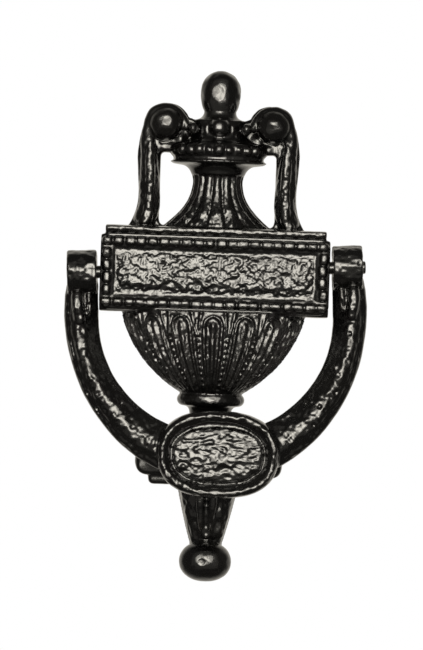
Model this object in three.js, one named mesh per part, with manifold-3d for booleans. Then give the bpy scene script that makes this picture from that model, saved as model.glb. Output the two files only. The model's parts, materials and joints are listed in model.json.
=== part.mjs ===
// A cast-iron urn door knocker. A flat-backed casting in the shape of a footed urn is bolted to the
// door, and a U-shaped bail with an oval striker swings on two pins in the ends of its name panel.
// Millimetres. +Z is up, the door lies behind the plane y = 0, and the front faces -Y.
// The origin is on the back face, behind the middle of the name panel.

import * as THREE from 'three';
import { mergeVertices } from 'three/addons/utils/BufferGeometryUtils.js';
import Module from 'manifold-3d';

const wasm = await Module();
wasm.setup();

// Relief: a turned form keeps its outline from the front and is pressed flatter the wider it is.
const axisDepth = 3;
const reliefLimit = 20;

// Name panel, with its bead frame, cornice above and sill below.
const panelWidth = 89.4;
const panelHeight = 29;
const panelDepth = 16;
const beadInset = 2.6;
const beadPitch = 4.48;
const beadLength = 4.2;
const beadWidth = 3.2;
const beadHeight = 1.5;
const fieldMargin = 1.9;
const fieldSink = 1.5;
const corniceInset = 1.7;
const corniceHeight = 3.3;
const corniceProud = 2;
const sillHeight = 1;
const sillSetback = 1.5;

// Reeded neck, lid and finial, upwards from the cornice.
const neckRadius = 9.8;
const neckFlare = 11;
const neckHeight = 21.2;
const reedCount = 16;
const reedDepth = 1;
const soffitRise = 4.4;
const rimRadius = 19;
const rimHeight = 8.6;
const rimBeadPitch = 3.9;
const domeRadius = 10.4;
const domeHeight = 8.5;
const lidBossRadius = 4.4;
const collarRadius = 6.2;
const collarHeight = 3.5;
const finialRadius = 7.9;
const finialHeight = 16;

// Scroll handles, between the cornice and the lid.
const slotWidth = 3.7;
const stemWidth = 9.1;
const stemDepth = 9;
const stemFlare = 3.4;
const eyeRadius = 8;
const eyeWrap = 0.7;
const eyeDepth = 8;
const rollRadius = 2.7;
const ribRadius = 1.5;
const ribInset = 5.2;
const curlRadius = 2.3;

// Tongue-and-dart bowl and its foot, downwards from the panel.
const bowlRadius = 37;
const bowlHeight = 32;
const bowlWall = 7;
const tongueCount = 17;
const tongueShare = 0.6;
const tongueDepth = 1.4;
const dartHeight = 1;
const footRadius = 13.3;
const footHeight = 5;
const stalkRadius = 8;
const stalkHeight = 9.1;

// Stepped plinth that the striker lands on, and the tail with its end ball.
const plinthWidth = 57;
const plinthHeight = 18.4;
const plinthDepth = 13;
const stepHeight = 3.5;
const stepInset = 5.2;
const stepSetback = 1.7;
const tailTopRadius = 11.6;
const tailNeckRadius = 6.6;
const tailHeight = 22.7;
const tailBallRadius = 10.2;
const tailBallHalfHeight = 7.8;
const ballDepth = 7;

// Hinge: both pins lie on one line, a few degrees out of level, above the panel's middle.
const hingeHeight = 1.8;
const doorClearance = 1.3;
const hingeSkewDegrees = 2.9;
const pinRadius = 2.5;
const pinBite = 18;
const pinProudRight = 1.3;
const pinProudLeft = 0.3;
const pinFit = 0.25;

// Bail: knuckles, arms and the oval with its striker.
const knuckleGap = 1.3;
const knuckleRadius = 8.7;
const knuckleLength = 11.6;
const armWidth = 13.1;
const armTopThickness = 12.5;
const armThinning = 5;
const armBack = 6.8;
const armClearance = 3.1;
const lobeRadius = 3.4;
const lobeHalfHeight = 7.5;
const lobeDrop = 13;
const outerShoulder = 15;
const innerShoulder = 19;
const ovalHalfWidth = 23.7;
const ovalHalfHeight = 17;
const ovalThickness = 10.5;
const ovalRim = 5.6;
const ovalDish = 2.2;
const bowBelowOval = 10.9;
const bowAboveOval = 7.6;
const strikerRadius = 6.5;
const strikerHeight = 3.2;
const restGap = 0.3;
const edgeRound = 0.8;
const pinChamfer = 0.5;

// Through-door fixings: studs in tapped bosses, with a washer and a domed nut behind the door.
const doorThickness = 44;
const studRadius = 3;
const studBite = 8;
const studFit = 0.25;
const upperStudRise = 11.2;
const holeSpare = 0.5;
const studSpare = 2;
const washerRadius = 6.4;
const washerThickness = 1.6;
const nutAcrossFlats = 10;
const nutHeight = 5.5;
const nutDome = 5;
const seatGap = 0.3;

// Levels that follow from the sizes above.
const panelTop = panelHeight / 2;
const neckBottom = panelTop + corniceHeight;
const neckTop = neckBottom + neckHeight;
const rimBottom = neckTop + soffitRise;
const rimTop = rimBottom + rimHeight;
const domeTop = rimTop + domeHeight;
const finialBottom = domeTop + collarHeight;
const bowlTop = -panelHeight / 2;
const bowlBottom = bowlTop - bowlHeight;
const footBottom = bowlBottom - footHeight;
const plinthTop = footBottom - stalkHeight;
const plinthMiddle = plinthTop - plinthHeight / 2;
const plinthBottom = plinthTop - plinthHeight;
const tailTop = plinthBottom - stepHeight;
const tailBottom = tailTop - tailHeight;
const upperStudHeight = neckBottom + upperStudRise;
const corniceWidth = panelWidth - 2 * corniceInset;
const corniceDepth = panelDepth + corniceProud;
const hingeDepth = knuckleRadius + doorClearance;
const hingeDrop = hingeHeight - plinthMiddle;
const armLean = (plinthDepth + armClearance - hingeDepth + armBack) / hingeDrop;
const innerHalf = panelWidth / 2 + knuckleGap;
const hingeSkew = THREE.MathUtils.degToRad(hingeSkewDegrees);

// ---------------------------------------------------------------- joining and cutting

function solid(geometry) {
  const bare = geometry.clone();
  bare.deleteAttribute('normal');
  bare.deleteAttribute('uv');
  const merged = mergeVertices(bare, 1e-4);
  const corners = merged.index.array;
  const triangles = [];
  for (let i = 0; i < corners.length; i += 3) {
    const [a, b, c] = corners.slice(i, i + 3);
    if (a !== b && b !== c && c !== a) triangles.push(a, b, c);
  }
  return new wasm.Manifold(new wasm.Mesh({
    numProp: 3,
    vertProperties: new Float32Array(merged.attributes.position.array),
    triVerts: new Uint32Array(triangles),
  }));
}

function joined(geometries) {
  return geometries.map(solid).reduce((whole, piece) => whole.add(piece));
}

function cutBy(whole, geometries) {
  return geometries.map(solid).reduce((rest, tool) => rest.subtract(tool), whole);
}

function geometryOf(body) {
  const { vertProperties, triVerts } = body.getMesh();
  const geometry = new THREE.BufferGeometry();
  geometry.setAttribute('position', new THREE.BufferAttribute(new Float32Array(vertProperties), 3));
  geometry.setIndex(new THREE.BufferAttribute(new Uint32Array(triVerts), 1));
  geometry.computeVertexNormals();
  return geometry;
}

// ---------------------------------------------------------------- shapes used more than once

// A turned form about an upright axis in front of the door, pressed into relief. A ribbing gives
// the radius taken off at an angle from the front.
function turned(path, segments, axis = axisDepth, ribbing = () => 0) {
  const geometry = new THREE.LatheGeometry(path.getPoints(4), segments);
  geometry.rotateX(Math.PI / 2);
  const position = geometry.attributes.position;
  for (let i = 0; i < position.count; i++) {
    const x = position.getX(i);
    const y = position.getY(i);
    const radius = Math.hypot(x, y);
    if (radius < 1e-6) continue;
    const ribbed = 1 - ribbing(Math.atan2(x, -y)) / radius;
    const flattened = 1 / Math.hypot(1, radius / reliefLimit);
    position.setX(i, x * ribbed);
    position.setY(i, y * ribbed * flattened);
  }
  return geometry.translate(0, -axis, 0);
}

// A flat outline in x and z, standing out of the back face to the given depth.
function slab(outline, depth, bevel) {
  const geometry = new THREE.ExtrudeGeometry(outline, {
    depth: depth - bevel + 1,
    bevelEnabled: bevel > 0,
    bevelSize: bevel,
    bevelOffset: -bevel,
    bevelThickness: bevel,
    bevelSegments: 1,
    curveSegments: 8,
  });
  return geometry.rotateX(Math.PI / 2).translate(0, 1, 0);
}

function rectangle(width, bottom, top) {
  const outline = new THREE.Shape();
  outline.moveTo(-width / 2, bottom);
  outline.lineTo(width / 2, bottom);
  outline.lineTo(width / 2, top);
  outline.lineTo(-width / 2, top);
  outline.closePath();
  return outline;
}

function roundEnded(width, bottom, top) {
  const radius = (top - bottom) / 2;
  const reach = width / 2 - radius;
  const outline = new THREE.Shape();
  outline.moveTo(-reach, bottom);
  outline.lineTo(reach, bottom);
  outline.absarc(reach, bottom + radius, radius, -Math.PI / 2, Math.PI / 2);
  outline.lineTo(-reach, top);
  outline.absarc(-reach, bottom + radius, radius, Math.PI / 2, Math.PI * 1.5);
  return outline;
}

function roll(points, radius) {
  const section = new THREE.Shape();
  section.absarc(0, 0, radius, 0, Math.PI * 2);
  const path = new THREE.CatmullRomCurve3(points);
  return new THREE.ExtrudeGeometry(section, {
    steps: 15, curveSegments: 4, bevelEnabled: false, extrudePath: path,
  });
}

function rod(radius, from, to, chamfer, segments = 24) {
  const path = new THREE.Path();
  path.moveTo(0, from);
  path.lineTo(radius - chamfer, from);
  path.lineTo(radius, from + chamfer);
  path.lineTo(radius, to - chamfer);
  path.lineTo(radius - chamfer, to);
  path.lineTo(0, to);
  return new THREE.LatheGeometry(path.getPoints(), segments);
}

// Rings of equally many points, joined in order and closed by a fan at each end.
function loft(rings) {
  const count = rings[0].length;
  const points = rings.flat();
  const faces = [];
  for (let ring = 0; ring < rings.length - 1; ring++) {
    for (let k = 0; k < count; k++) {
      const a = ring * count + k;
      const b = ring * count + (k + 1) % count;
      faces.push(a, b, a + count, b, b + count, a + count);
    }
  }
  for (const ring of [0, rings.length - 1]) {
    const middle = new THREE.Vector3();
    rings[ring].forEach((point) => middle.addScaledVector(point, 1 / count));
    const hub = points.push(middle) - 1;
    for (let k = 0; k < count; k++) {
      const a = ring * count + k;
      const b = ring * count + (k + 1) % count;
      faces.push(...(ring === 0 ? [hub, b, a] : [hub, a, b]));
    }
  }
  const geometry = new THREE.BufferGeometry().setFromPoints(points);
  return geometry.setIndex(faces);
}

// ---------------------------------------------------------------- back casting

function panel() {
  return [
    slab(rectangle(panelWidth, bowlTop, panelTop), panelDepth, 0.6),
    slab(rectangle(panelWidth, bowlTop - sillHeight, bowlTop + 1), panelDepth - sillSetback, 0),
  ];
}

// The sunken field and the cushion that fills it nearly to the frame again.
function fieldRecess() {
  const margin = beadInset + fieldMargin;
  const width = panelWidth - 2 * margin;
  const half = panelTop - margin;
  return new THREE.BoxGeometry(width, 2 * fieldSink, 2 * half).translate(0, -panelDepth, 0);
}

function fieldCushion() {
  const margin = beadInset + fieldMargin + 0.8;
  const half = panelTop - margin;
  return slab(rectangle(panelWidth - 2 * margin, -half, half), panelDepth - 0.3, 1.1);
}

function beadFrame() {
  const rowLength = panelWidth - 2 * beadInset;
  const rowHeight = panelHeight - 2 * beadInset;
  const across = Math.round(rowLength / beadPitch);
  const down = Math.round(rowHeight / beadPitch);
  const places = [];
  for (let i = 0; i <= across; i++) {
    const x = rowLength * (i / across - 0.5);
    places.push([x, -rowHeight / 2], [x, rowHeight / 2]);
  }
  for (let i = 1; i < down; i++) {
    const z = rowHeight * (i / down - 0.5);
    places.push([-rowLength / 2, z], [rowLength / 2, z]);
  }
  return places.map(([x, z]) => new THREE.SphereGeometry(1, 8, 4)
    .scale(beadLength / 2, beadHeight, beadWidth / 2)
    .translate(x, 0.15 - panelDepth, z));
}

// A moulding with a hollow below and a round top edge, extruded along the panel.
function cornice() {
  const profile = new THREE.Shape();
  const lip = corniceHeight * 0.45;
  profile.moveTo(-1, panelTop - 1);
  profile.lineTo(panelDepth - 0.5, panelTop - 1);
  profile.quadraticCurveTo(panelDepth, panelTop + corniceHeight - lip,
    corniceDepth - lip / 2, panelTop + corniceHeight - lip);
  profile.absarc(corniceDepth - lip / 2, neckBottom - lip / 2, lip / 2, -Math.PI / 2, Math.PI / 2);
  profile.lineTo(-1, neckBottom);
  profile.closePath();
  const geometry = new THREE.ExtrudeGeometry(profile, {
    depth: corniceWidth, bevelEnabled: false, curveSegments: 5,
  });
  geometry.applyMatrix4(new THREE.Matrix4().makeBasis(
    new THREE.Vector3(0, -1, 0), new THREE.Vector3(0, 0, 1), new THREE.Vector3(-1, 0, 0)));
  return geometry.translate(corniceWidth / 2, 0, 0);
}

function reededNeck() {
  const foot = neckRadius + neckFlare;
  const path = new THREE.Path();
  path.moveTo(0, neckBottom - 1);
  path.lineTo(foot, neckBottom - 1);
  path.lineTo(foot, neckBottom + 1.5);
  path.bezierCurveTo(neckRadius + neckFlare * 0.45, neckBottom + neckHeight * 0.3,
    neckRadius, neckBottom + neckHeight * 0.52, neckRadius, neckTop - 2);
  path.lineTo(neckRadius + 0.5, neckTop + 1);
  path.lineTo(0, neckTop + 1);
  const reed = (angle) => reedDepth * (1 - Math.abs(Math.cos(angle * reedCount / 2)));
  return turned(path, reedCount * 4, axisDepth, reed);
}

function lid() {
  const bead = (rimHeight - 2) * 0.42;
  const beadMiddle = rimBottom + rimHeight * 0.58;
  const path = new THREE.Path();
  path.moveTo(0, neckTop - 1);
  path.lineTo(neckRadius + 0.5, neckTop);
  path.quadraticCurveTo(neckRadius + 1.7, rimBottom - 0.6, rimRadius * 0.8, rimBottom - 0.4);
  path.lineTo(rimRadius - 0.4, rimBottom);
  path.lineTo(rimRadius, rimBottom + 0.5);
  path.lineTo(rimRadius, beadMiddle - bead);
  path.absarc(rimRadius - bead, beadMiddle, bead, -Math.PI / 3, Math.PI / 2);
  path.quadraticCurveTo(domeRadius + 0.4, rimTop, domeRadius + 0.2, rimTop + domeHeight * 0.4);
  path.lineTo(domeRadius - 0.3, domeTop);
  path.quadraticCurveTo(collarRadius + 0.5, domeTop + 0.4, collarRadius, finialBottom);
  path.bezierCurveTo(collarRadius + 1, finialBottom + finialHeight * 0.12,
    finialRadius, finialBottom + finialHeight * 0.25, finialRadius, finialBottom + finialHeight * 0.47);
  path.bezierCurveTo(finialRadius, finialBottom + finialHeight * 0.78,
    finialRadius * 0.55, finialBottom + finialHeight, 0, finialBottom + finialHeight);
  return turned(path, 28);
}

// The row of beads round the front of the lid's rim, spaced along its flattened curve.
function rimBeads() {
  const beadMiddle = rimBottom + rimHeight * 0.58;
  const depth = rimRadius / Math.hypot(1, rimRadius / reliefLimit);
  const step = rimBeadPitch / rimRadius;
  const beads = [];
  for (let angle = -4 * step; angle < 4.5 * step; angle += step) {
    beads.push(new THREE.SphereGeometry(1, 8, 5)
      .scale(rimBeadPitch * 0.48, 1.6, 2.1)
      .translate(rimRadius * Math.sin(angle), 0.5 - axisDepth - depth * Math.cos(angle), beadMiddle));
  }
  return beads;
}

function lidBoss() {
  const front = axisDepth + domeRadius / Math.hypot(1, domeRadius / reliefLimit);
  const middle = rimTop + domeHeight * 0.62;
  return [
    new THREE.SphereGeometry(lidBossRadius, 12, 8).translate(0, 1 - front, middle),
    rod(lidBossRadius + 1, front - 2, front + 0.6, 0.6, 16).rotateX(Math.PI)
      .translate(0, 0, middle - 1),
  ];
}

// One scroll handle: a flat stem that rises from the cornice and curls over a ball beside the lid.
function scrollHandle(side) {
  const inner = rimRadius + slotWidth;
  const outer = inner + stemWidth;
  const eyeX = inner - 2.4;
  const eyeZ = domeTop - 2.5;
  const wrap = eyeRadius + eyeWrap;
  const slotTop = rimBottom + 4.2;
  const slotRadius = slotWidth / 2;
  const outline = new THREE.Shape();
  outline.moveTo(side * (outer + stemFlare), neckBottom - 3);
  outline.lineTo(side * (outer + stemFlare), neckBottom - 0.5);
  outline.bezierCurveTo(side * (outer + 0.3), neckBottom + 4, side * (outer - 1.6), neckBottom + 10,
    side * (outer - 0.6), neckBottom + 18);
  outline.lineTo(side * outer, rimBottom + 1.5);
  outline.bezierCurveTo(side * (outer + 0.1), eyeZ - 1, side * (eyeX + wrap * 0.88), eyeZ + wrap,
    side * eyeX, eyeZ + wrap);
  outline.quadraticCurveTo(side * (eyeX - wrap * 0.65), eyeZ + wrap,
    side * (eyeX - wrap * 0.93), eyeZ + wrap * 0.38);
  outline.lineTo(side * 2, domeTop - 2);
  outline.lineTo(side * 2, slotTop);
  outline.lineTo(side * (inner - slotRadius), slotTop);
  outline.quadraticCurveTo(side * inner, slotTop, side * inner, slotTop - slotRadius);
  outline.lineTo(side * inner, neckBottom + 4);
  outline.quadraticCurveTo(side * inner, neckBottom + 1, side * (inner - 3), neckBottom + 1);
  outline.lineTo(side * (inner - 3), neckBottom - 3);
  outline.closePath();
  const along = (x, z, depth) => new THREE.Vector3(side * x, -depth, z);
  const rollX = outer - rollRadius - 0.3;
  const ribX = outer - ribInset;
  return [
    slab(outline, stemDepth, 1.2),
    roll([
      along(rollX + stemFlare * 0.7, neckBottom - 0.5, stemDepth - 0.4),
      along(rollX - 0.3, neckBottom + 9, stemDepth - 0.4),
      along(rollX, rimBottom + 3, stemDepth - 0.2),
      along(rollX - 1.4, eyeZ - 1, stemDepth),
      along(eyeX + eyeRadius * 0.55, eyeZ + eyeRadius * 0.6, stemDepth),
      along(eyeX - 1, eyeZ + wrap - rollRadius - 0.3, stemDepth - 0.6),
      along(eyeX - eyeRadius * 0.62, eyeZ + eyeRadius * 0.25, stemDepth - 1.5),
    ], rollRadius),
    roll([
      along(ribX, neckBottom - 0.5, stemDepth),
      along(ribX, neckBottom + 14, stemDepth),
      along(ribX + 0.4, rimTop + 1, stemDepth),
    ], ribRadius),
    new THREE.SphereGeometry(eyeRadius, 14, 8)
      .translate(side * eyeX, -eyeDepth, eyeZ),
    new THREE.SphereGeometry(curlRadius, 10, 6)
      .translate(side * (eyeX - wrap - 1.1), -stemDepth - 0.8, eyeZ - 1.2),
  ];
}

function bowlPath(inset) {
  const path = new THREE.Path();
  const radius = bowlRadius - inset;
  const foot = footRadius - 0.8 - inset;
  path.moveTo(0, bowlBottom + inset);
  path.lineTo(foot, bowlBottom + inset);
  path.bezierCurveTo(bowlRadius * 0.65 - inset, bowlBottom + bowlHeight * 0.2 + inset * 0.5,
    bowlRadius * 0.9 - inset, bowlBottom + bowlHeight * 0.53 + inset * 0.3, radius, bowlTop - inset * 0.7);
  path.lineTo(0, bowlTop - inset * 0.7);
  return path;
}

// Wide rounded tongues, with a sharp dart standing in the groove between each two.
function bowl() {
  const tongueAndDart = (angle) => {
    const turns = angle * tongueCount / (2 * Math.PI);
    const off = 2 * Math.abs(turns - Math.round(turns));
    if (off <= tongueShare + 1e-6) return tongueDepth * (off / tongueShare) ** 2;
    return tongueDepth - dartHeight * (off - tongueShare) / (1 - tongueShare);
  };
  return turned(bowlPath(0), tongueCount * 10, axisDepth, tongueAndDart);
}

function foot() {
  const torus = footHeight / 2;
  const path = new THREE.Path();
  path.moveTo(0, plinthTop - 1);
  path.lineTo(stalkRadius + 4, plinthTop - 1);
  path.lineTo(stalkRadius + 4, plinthTop);
  path.quadraticCurveTo(stalkRadius, plinthTop, stalkRadius, plinthTop + stalkHeight * 0.6);
  path.quadraticCurveTo(stalkRadius, footBottom, footRadius - torus, footBottom);
  path.absarc(footRadius - torus, footBottom + torus, torus, -Math.PI / 2, Math.PI / 2);
  path.lineTo(footRadius - torus, bowlBottom + 1);
  path.lineTo(0, bowlBottom + 1);
  return turned(path, 28);
}

function plinth() {
  const stepWidth = plinthWidth - 2 * stepInset;
  return [
    slab(roundEnded(plinthWidth, plinthBottom, plinthTop), plinthDepth, edgeRound),
    slab(rectangle(stepWidth, tailTop, plinthBottom + 1), plinthDepth - stepSetback, edgeRound),
  ];
}

function tail() {
  const path = new THREE.Path();
  path.moveTo(0, tailBottom - 2);
  path.lineTo(tailNeckRadius, tailBottom - 2);
  path.lineTo(tailNeckRadius, tailBottom);
  path.bezierCurveTo(tailNeckRadius + 1.5, tailBottom + tailHeight * 0.18,
    tailTopRadius - 1.2, tailBottom + tailHeight * 0.6, tailTopRadius, tailTop - 3.5);
  path.quadraticCurveTo(tailTopRadius + 0.2, tailTop, tailTopRadius + 2.2, tailTop);
  path.lineTo(tailTopRadius + 2.2, tailTop + 1);
  path.lineTo(0, tailTop + 1);
  return turned(path, 28, 0);
}

function tailBall() {
  const middle = tailBottom + 0.8 - tailBallHalfHeight;
  return new THREE.SphereGeometry(1, 20, 10)
    .scale(tailBallRadius, tailBallRadius * 0.86, tailBallHalfHeight)
    .translate(0, -ballDepth, middle);
}

// The hollow that thins the bowl from behind, leaving a wall of even thickness.
function bowlCore() {
  return turned(bowlPath(bowlWall), 40, 0);
}

function hingeFrame() {
  const frame = new THREE.Group();
  frame.position.set(0, -hingeDepth, hingeHeight);
  frame.rotation.y = -hingeSkew;
  frame.updateMatrix();
  return frame;
}

function pinHoles() {
  const deep = panelWidth / 2 - pinBite - holeSpare;
  const frame = hingeFrame().matrix;
  return [-1, 1].map((side) => rod(pinRadius + pinFit, deep, panelWidth, 0)
    .rotateZ(-side * Math.PI / 2).applyMatrix4(frame));
}

function studHoles() {
  return [upperStudHeight, plinthMiddle].map((height) =>
    rod(studRadius + studFit, -studBite - holeSpare, 5, 0, 20).translate(0, 0, height));
}

function urnPlate() {
  const door = new THREE.BoxGeometry(4 * panelWidth, 40, 4 * panelWidth).translate(0, 20, 0);
  let body = joined(panel());
  body = cutBy(body, [fieldRecess()]);
  body = body.add(joined([
    fieldCushion(), ...beadFrame(), cornice(), reededNeck(), lid(), ...rimBeads(), ...lidBoss(),
    ...scrollHandle(-1), ...scrollHandle(1), bowl(), foot(), ...plinth(), tail(), tailBall(),
  ]));
  return geometryOf(cutBy(body, [door, bowlCore(), ...pinHoles(), ...studHoles()]));
}

// ---------------------------------------------------------------- bail, in the hinge's own frame

// Height of the arm's front over its width, from the outer rim to the inner edge.
const armSection = [
  [0.06, 0], [0, 0.12], [0, 0.5], [0.07, 0.68], [0.17, 0.72], [0.25, 0.62], [0.36, 0.86],
  [0.5, 1], [0.64, 0.92], [0.84, 0.6], [1, 0.3], [1, 0.1], [0.94, 0],
];

function armRing(outer, inner) {
  const height = (outer.z + inner.z) / 2;
  const back = armBack + armLean * height;
  const share = height / (hingeDrop + bowBelowOval);
  const thickness = armTopThickness - armThinning * share * share;
  return armSection.map(([across, up]) => new THREE.Vector3(
    THREE.MathUtils.lerp(outer.x, inner.x, across),
    back - thickness * up,
    THREE.MathUtils.lerp(outer.z, inner.z, across),
  ));
}

// Two arms in one sweep: between an outer and an inner half ellipse, straight near the knuckles.
function arms() {
  const outerHalf = innerHalf + armWidth;
  const outerDrop = hingeDrop + bowBelowOval - outerShoulder;
  const innerDrop = hingeDrop - bowAboveOval - innerShoulder;
  const rings = [];
  for (const [height, bulge] of [[-3, -1.8], [-9, -0.3]]) {
    rings.push(armRing({ x: -outerHalf - bulge, z: height }, { x: -innerHalf, z: height }));
  }
  const steps = 32;
  for (let i = 0; i <= steps; i++) {
    const angle = Math.PI * i / steps;
    rings.push(armRing(
      { x: -outerHalf * Math.cos(angle), z: -outerShoulder - outerDrop * Math.sin(angle) },
      { x: -innerHalf * Math.cos(angle), z: -innerShoulder - innerDrop * Math.sin(angle) },
    ));
  }
  for (const [height, bulge] of [[-9, -0.3], [-3, -1.8]]) {
    rings.push(armRing({ x: outerHalf + bulge, z: height }, { x: innerHalf, z: height }));
  }
  return loft(rings.reverse());
}

function knuckle(side) {
  return rod(knuckleRadius, innerHalf, innerHalf + knuckleLength, edgeRound, 32)
    .rotateZ(-side * Math.PI / 2);
}

// The swelling of the arm under a knuckle.
function lobe(side) {
  const x = side * (innerHalf + armWidth * 0.57);
  return new THREE.SphereGeometry(1, 12, 8)
    .scale(lobeRadius, lobeRadius, lobeHalfHeight)
    .translate(x, armBack + lobeRadius - armTopThickness, -lobeDrop);
}

function ovalRing(inset, depth) {
  const points = [];
  const count = 36;
  const square = 2 / 2.2;
  for (let k = 0; k < count; k++) {
    const angle = Math.PI * 2 * k / count;
    const x = Math.sign(Math.cos(angle)) * Math.abs(Math.cos(angle)) ** square;
    const z = Math.sign(Math.sin(angle)) * Math.abs(Math.sin(angle)) ** square;
    points.push(new THREE.Vector3(x * (ovalHalfWidth - inset), depth, z * (ovalHalfHeight - inset)));
  }
  return points;
}

// The dished oval: a rounded rim of even width round a slightly crowned field.
function oval(backDepth) {
  const front = backDepth - ovalThickness;
  return loft([
    ovalRing(3, backDepth),
    ovalRing(0.6, backDepth - 1),
    ovalRing(0, backDepth - 3.5),
    ovalRing(0.3, front + 3),
    ovalRing(1.4, front + 0.6),
    ovalRing(ovalRim * 0.5, front),
    ovalRing(ovalRim * 0.75, front + 0.5),
    ovalRing(ovalRim, front + ovalDish),
    ovalRing(ovalRim * 1.6, front + ovalDish - 0.6),
    ovalRing(ovalHalfHeight * 0.8, front + ovalDish - 1),
  ]);
}

function knockerBail() {
  const plinthFace = hingeDepth - plinthDepth;
  const backDepth = plinthFace - restGap - strikerHeight;
  const level = (geometry) => geometry.rotateY(hingeSkew).translate(0, 0, -hingeDrop);
  const tip = rod(strikerRadius, backDepth - 3, backDepth + strikerHeight, edgeRound);
  const body = joined([
    arms(), knuckle(-1), knuckle(1), lobe(-1), lobe(1), level(oval(backDepth)), level(tip),
  ]);
  const bores = [-1, 1].map((side) =>
    rod(pinRadius + pinFit, innerHalf - 5, innerHalf + knuckleLength + 5, 0)
      .rotateZ(-side * Math.PI / 2));
  return geometryOf(cutBy(body, bores));
}

function pivotPin(side, proud) {
  const tip = innerHalf + knuckleLength + proud;
  return rod(pinRadius, panelWidth / 2 - pinBite, tip, pinChamfer).rotateZ(-side * Math.PI / 2);
}

// ---------------------------------------------------------------- fixings behind the door

function fixingStud() {
  const tip = doorThickness + washerThickness + nutHeight + studSpare;
  return rod(studRadius, -studBite, tip, pinChamfer, 20);
}

function studWasher() {
  const path = new THREE.Path();
  const start = doorThickness;
  path.moveTo(studRadius + studFit, start);
  path.lineTo(washerRadius, start);
  path.lineTo(washerRadius, start + washerThickness);
  path.lineTo(studRadius + studFit, start + washerThickness);
  path.closePath();
  return new THREE.LatheGeometry(path.getPoints(), 24);
}

function domeNut() {
  const start = doorThickness + washerThickness + seatGap;
  const corner = nutAcrossFlats / Math.sqrt(3);
  const hexagon = new THREE.CylinderGeometry(corner, corner, nutHeight, 6)
    .translate(0, start + nutHeight / 2, 0);
  const dome = new THREE.SphereGeometry(nutAcrossFlats * 0.46, 20, 12)
    .scale(1, nutDome / (nutAcrossFlats * 0.46), 1)
    .translate(0, start + nutHeight, 0);
  const boreTop = doorThickness + washerThickness + nutHeight + studSpare + holeSpare;
  const bore = rod(studRadius + studFit, start - 5, boreTop, 0, 20);
  return geometryOf(cutBy(joined([hexagon, dome]), [bore]));
}

// ---------------------------------------------------------------- the assembly

const enamel = { color: 0x17171a, roughness: 0.35, metalness: 0.1 };
const steel = { color: 0x8d8f92, roughness: 0.4, metalness: 0.9 };

function part(name, geometry, finish) {
  const mesh = new THREE.Mesh(geometry, new THREE.MeshStandardMaterial(finish));
  mesh.name = name;
  return mesh;
}

const knocker = new THREE.Group();
knocker.add(part('urn_plate', urnPlate(), enamel));

const hinge = hingeFrame();
hinge.add(part('knocker_bail', knockerBail(), enamel));
hinge.add(part('pivot_pin_left', pivotPin(-1, pinProudLeft), enamel));
hinge.add(part('pivot_pin_right', pivotPin(1, pinProudRight), enamel));
knocker.add(hinge);

for (const [place, height] of [['upper', upperStudHeight], ['lower', plinthMiddle]]) {
  const fixing = new THREE.Group();
  fixing.position.z = height;
  fixing.add(part(`fixing_stud_${place}`, fixingStud(), steel));
  fixing.add(part(`stud_washer_${place}`, studWasher(), steel));
  fixing.add(part(`dome_nut_${place}`, domeNut(), steel));
  knocker.add(fixing);
}

export default knocker;
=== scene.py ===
# %% [markdown]
# # A cast-iron urn door knocker
#
# The real knocker is two rough sand castings. The back casting is an urn in relief, with two scroll
# handles, a name panel, a gadrooned bowl and a tail. The front casting is a heavy bail that swings
# on two pins and strikes a plinth below the bowl. Both were dipped in black enamel, so every dent
# of the sand mould shows as a broken white highlight.
#
# A model of such a thing could be sculpted by hand, but a script can do what the pattern maker did:
# build clean forms from a few sizes, fuse them, and then roughen the skin. The CAD frame gives the
# sizes and the motion. This script gives the skin.

# %% Load the frame and keep its box
import json
import math
import bmesh
import bpy
import numpy as np
from mathutils import Matrix, Vector


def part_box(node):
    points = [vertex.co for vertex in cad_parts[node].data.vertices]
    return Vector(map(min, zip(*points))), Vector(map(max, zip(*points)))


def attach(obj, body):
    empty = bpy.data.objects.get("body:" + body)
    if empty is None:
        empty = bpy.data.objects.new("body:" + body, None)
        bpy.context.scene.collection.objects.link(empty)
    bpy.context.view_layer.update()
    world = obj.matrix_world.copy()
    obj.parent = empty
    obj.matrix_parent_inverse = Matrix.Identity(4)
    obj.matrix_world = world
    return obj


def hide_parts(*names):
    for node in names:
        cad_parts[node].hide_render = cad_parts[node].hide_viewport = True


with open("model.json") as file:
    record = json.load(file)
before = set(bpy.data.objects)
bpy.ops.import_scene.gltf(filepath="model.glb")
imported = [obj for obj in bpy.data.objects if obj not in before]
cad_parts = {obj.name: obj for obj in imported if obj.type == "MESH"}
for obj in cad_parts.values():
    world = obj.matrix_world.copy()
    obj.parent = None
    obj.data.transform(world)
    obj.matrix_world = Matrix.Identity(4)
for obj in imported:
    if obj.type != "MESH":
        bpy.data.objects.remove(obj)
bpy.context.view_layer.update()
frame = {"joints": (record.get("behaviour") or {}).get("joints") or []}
MM = 0.001
plate_low, plate_high = [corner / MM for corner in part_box("urn_plate")]
bail_low, bail_high = [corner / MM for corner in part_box("knocker_bail")]
print("back casting, mm:", [round(v, 1) for v in (*plate_low, *plate_high)])
print("bail, mm:", [round(v, 1) for v in (*bail_low, *bail_high)])

# %% [markdown]
# ## The camera
#
# A knocker is looked at straight on, from far enough away that nothing is foreshortened. A long
# lens does that. The part itself stays upright and the camera leans, because the knocker was lying
# a little askew when it was looked at.

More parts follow.
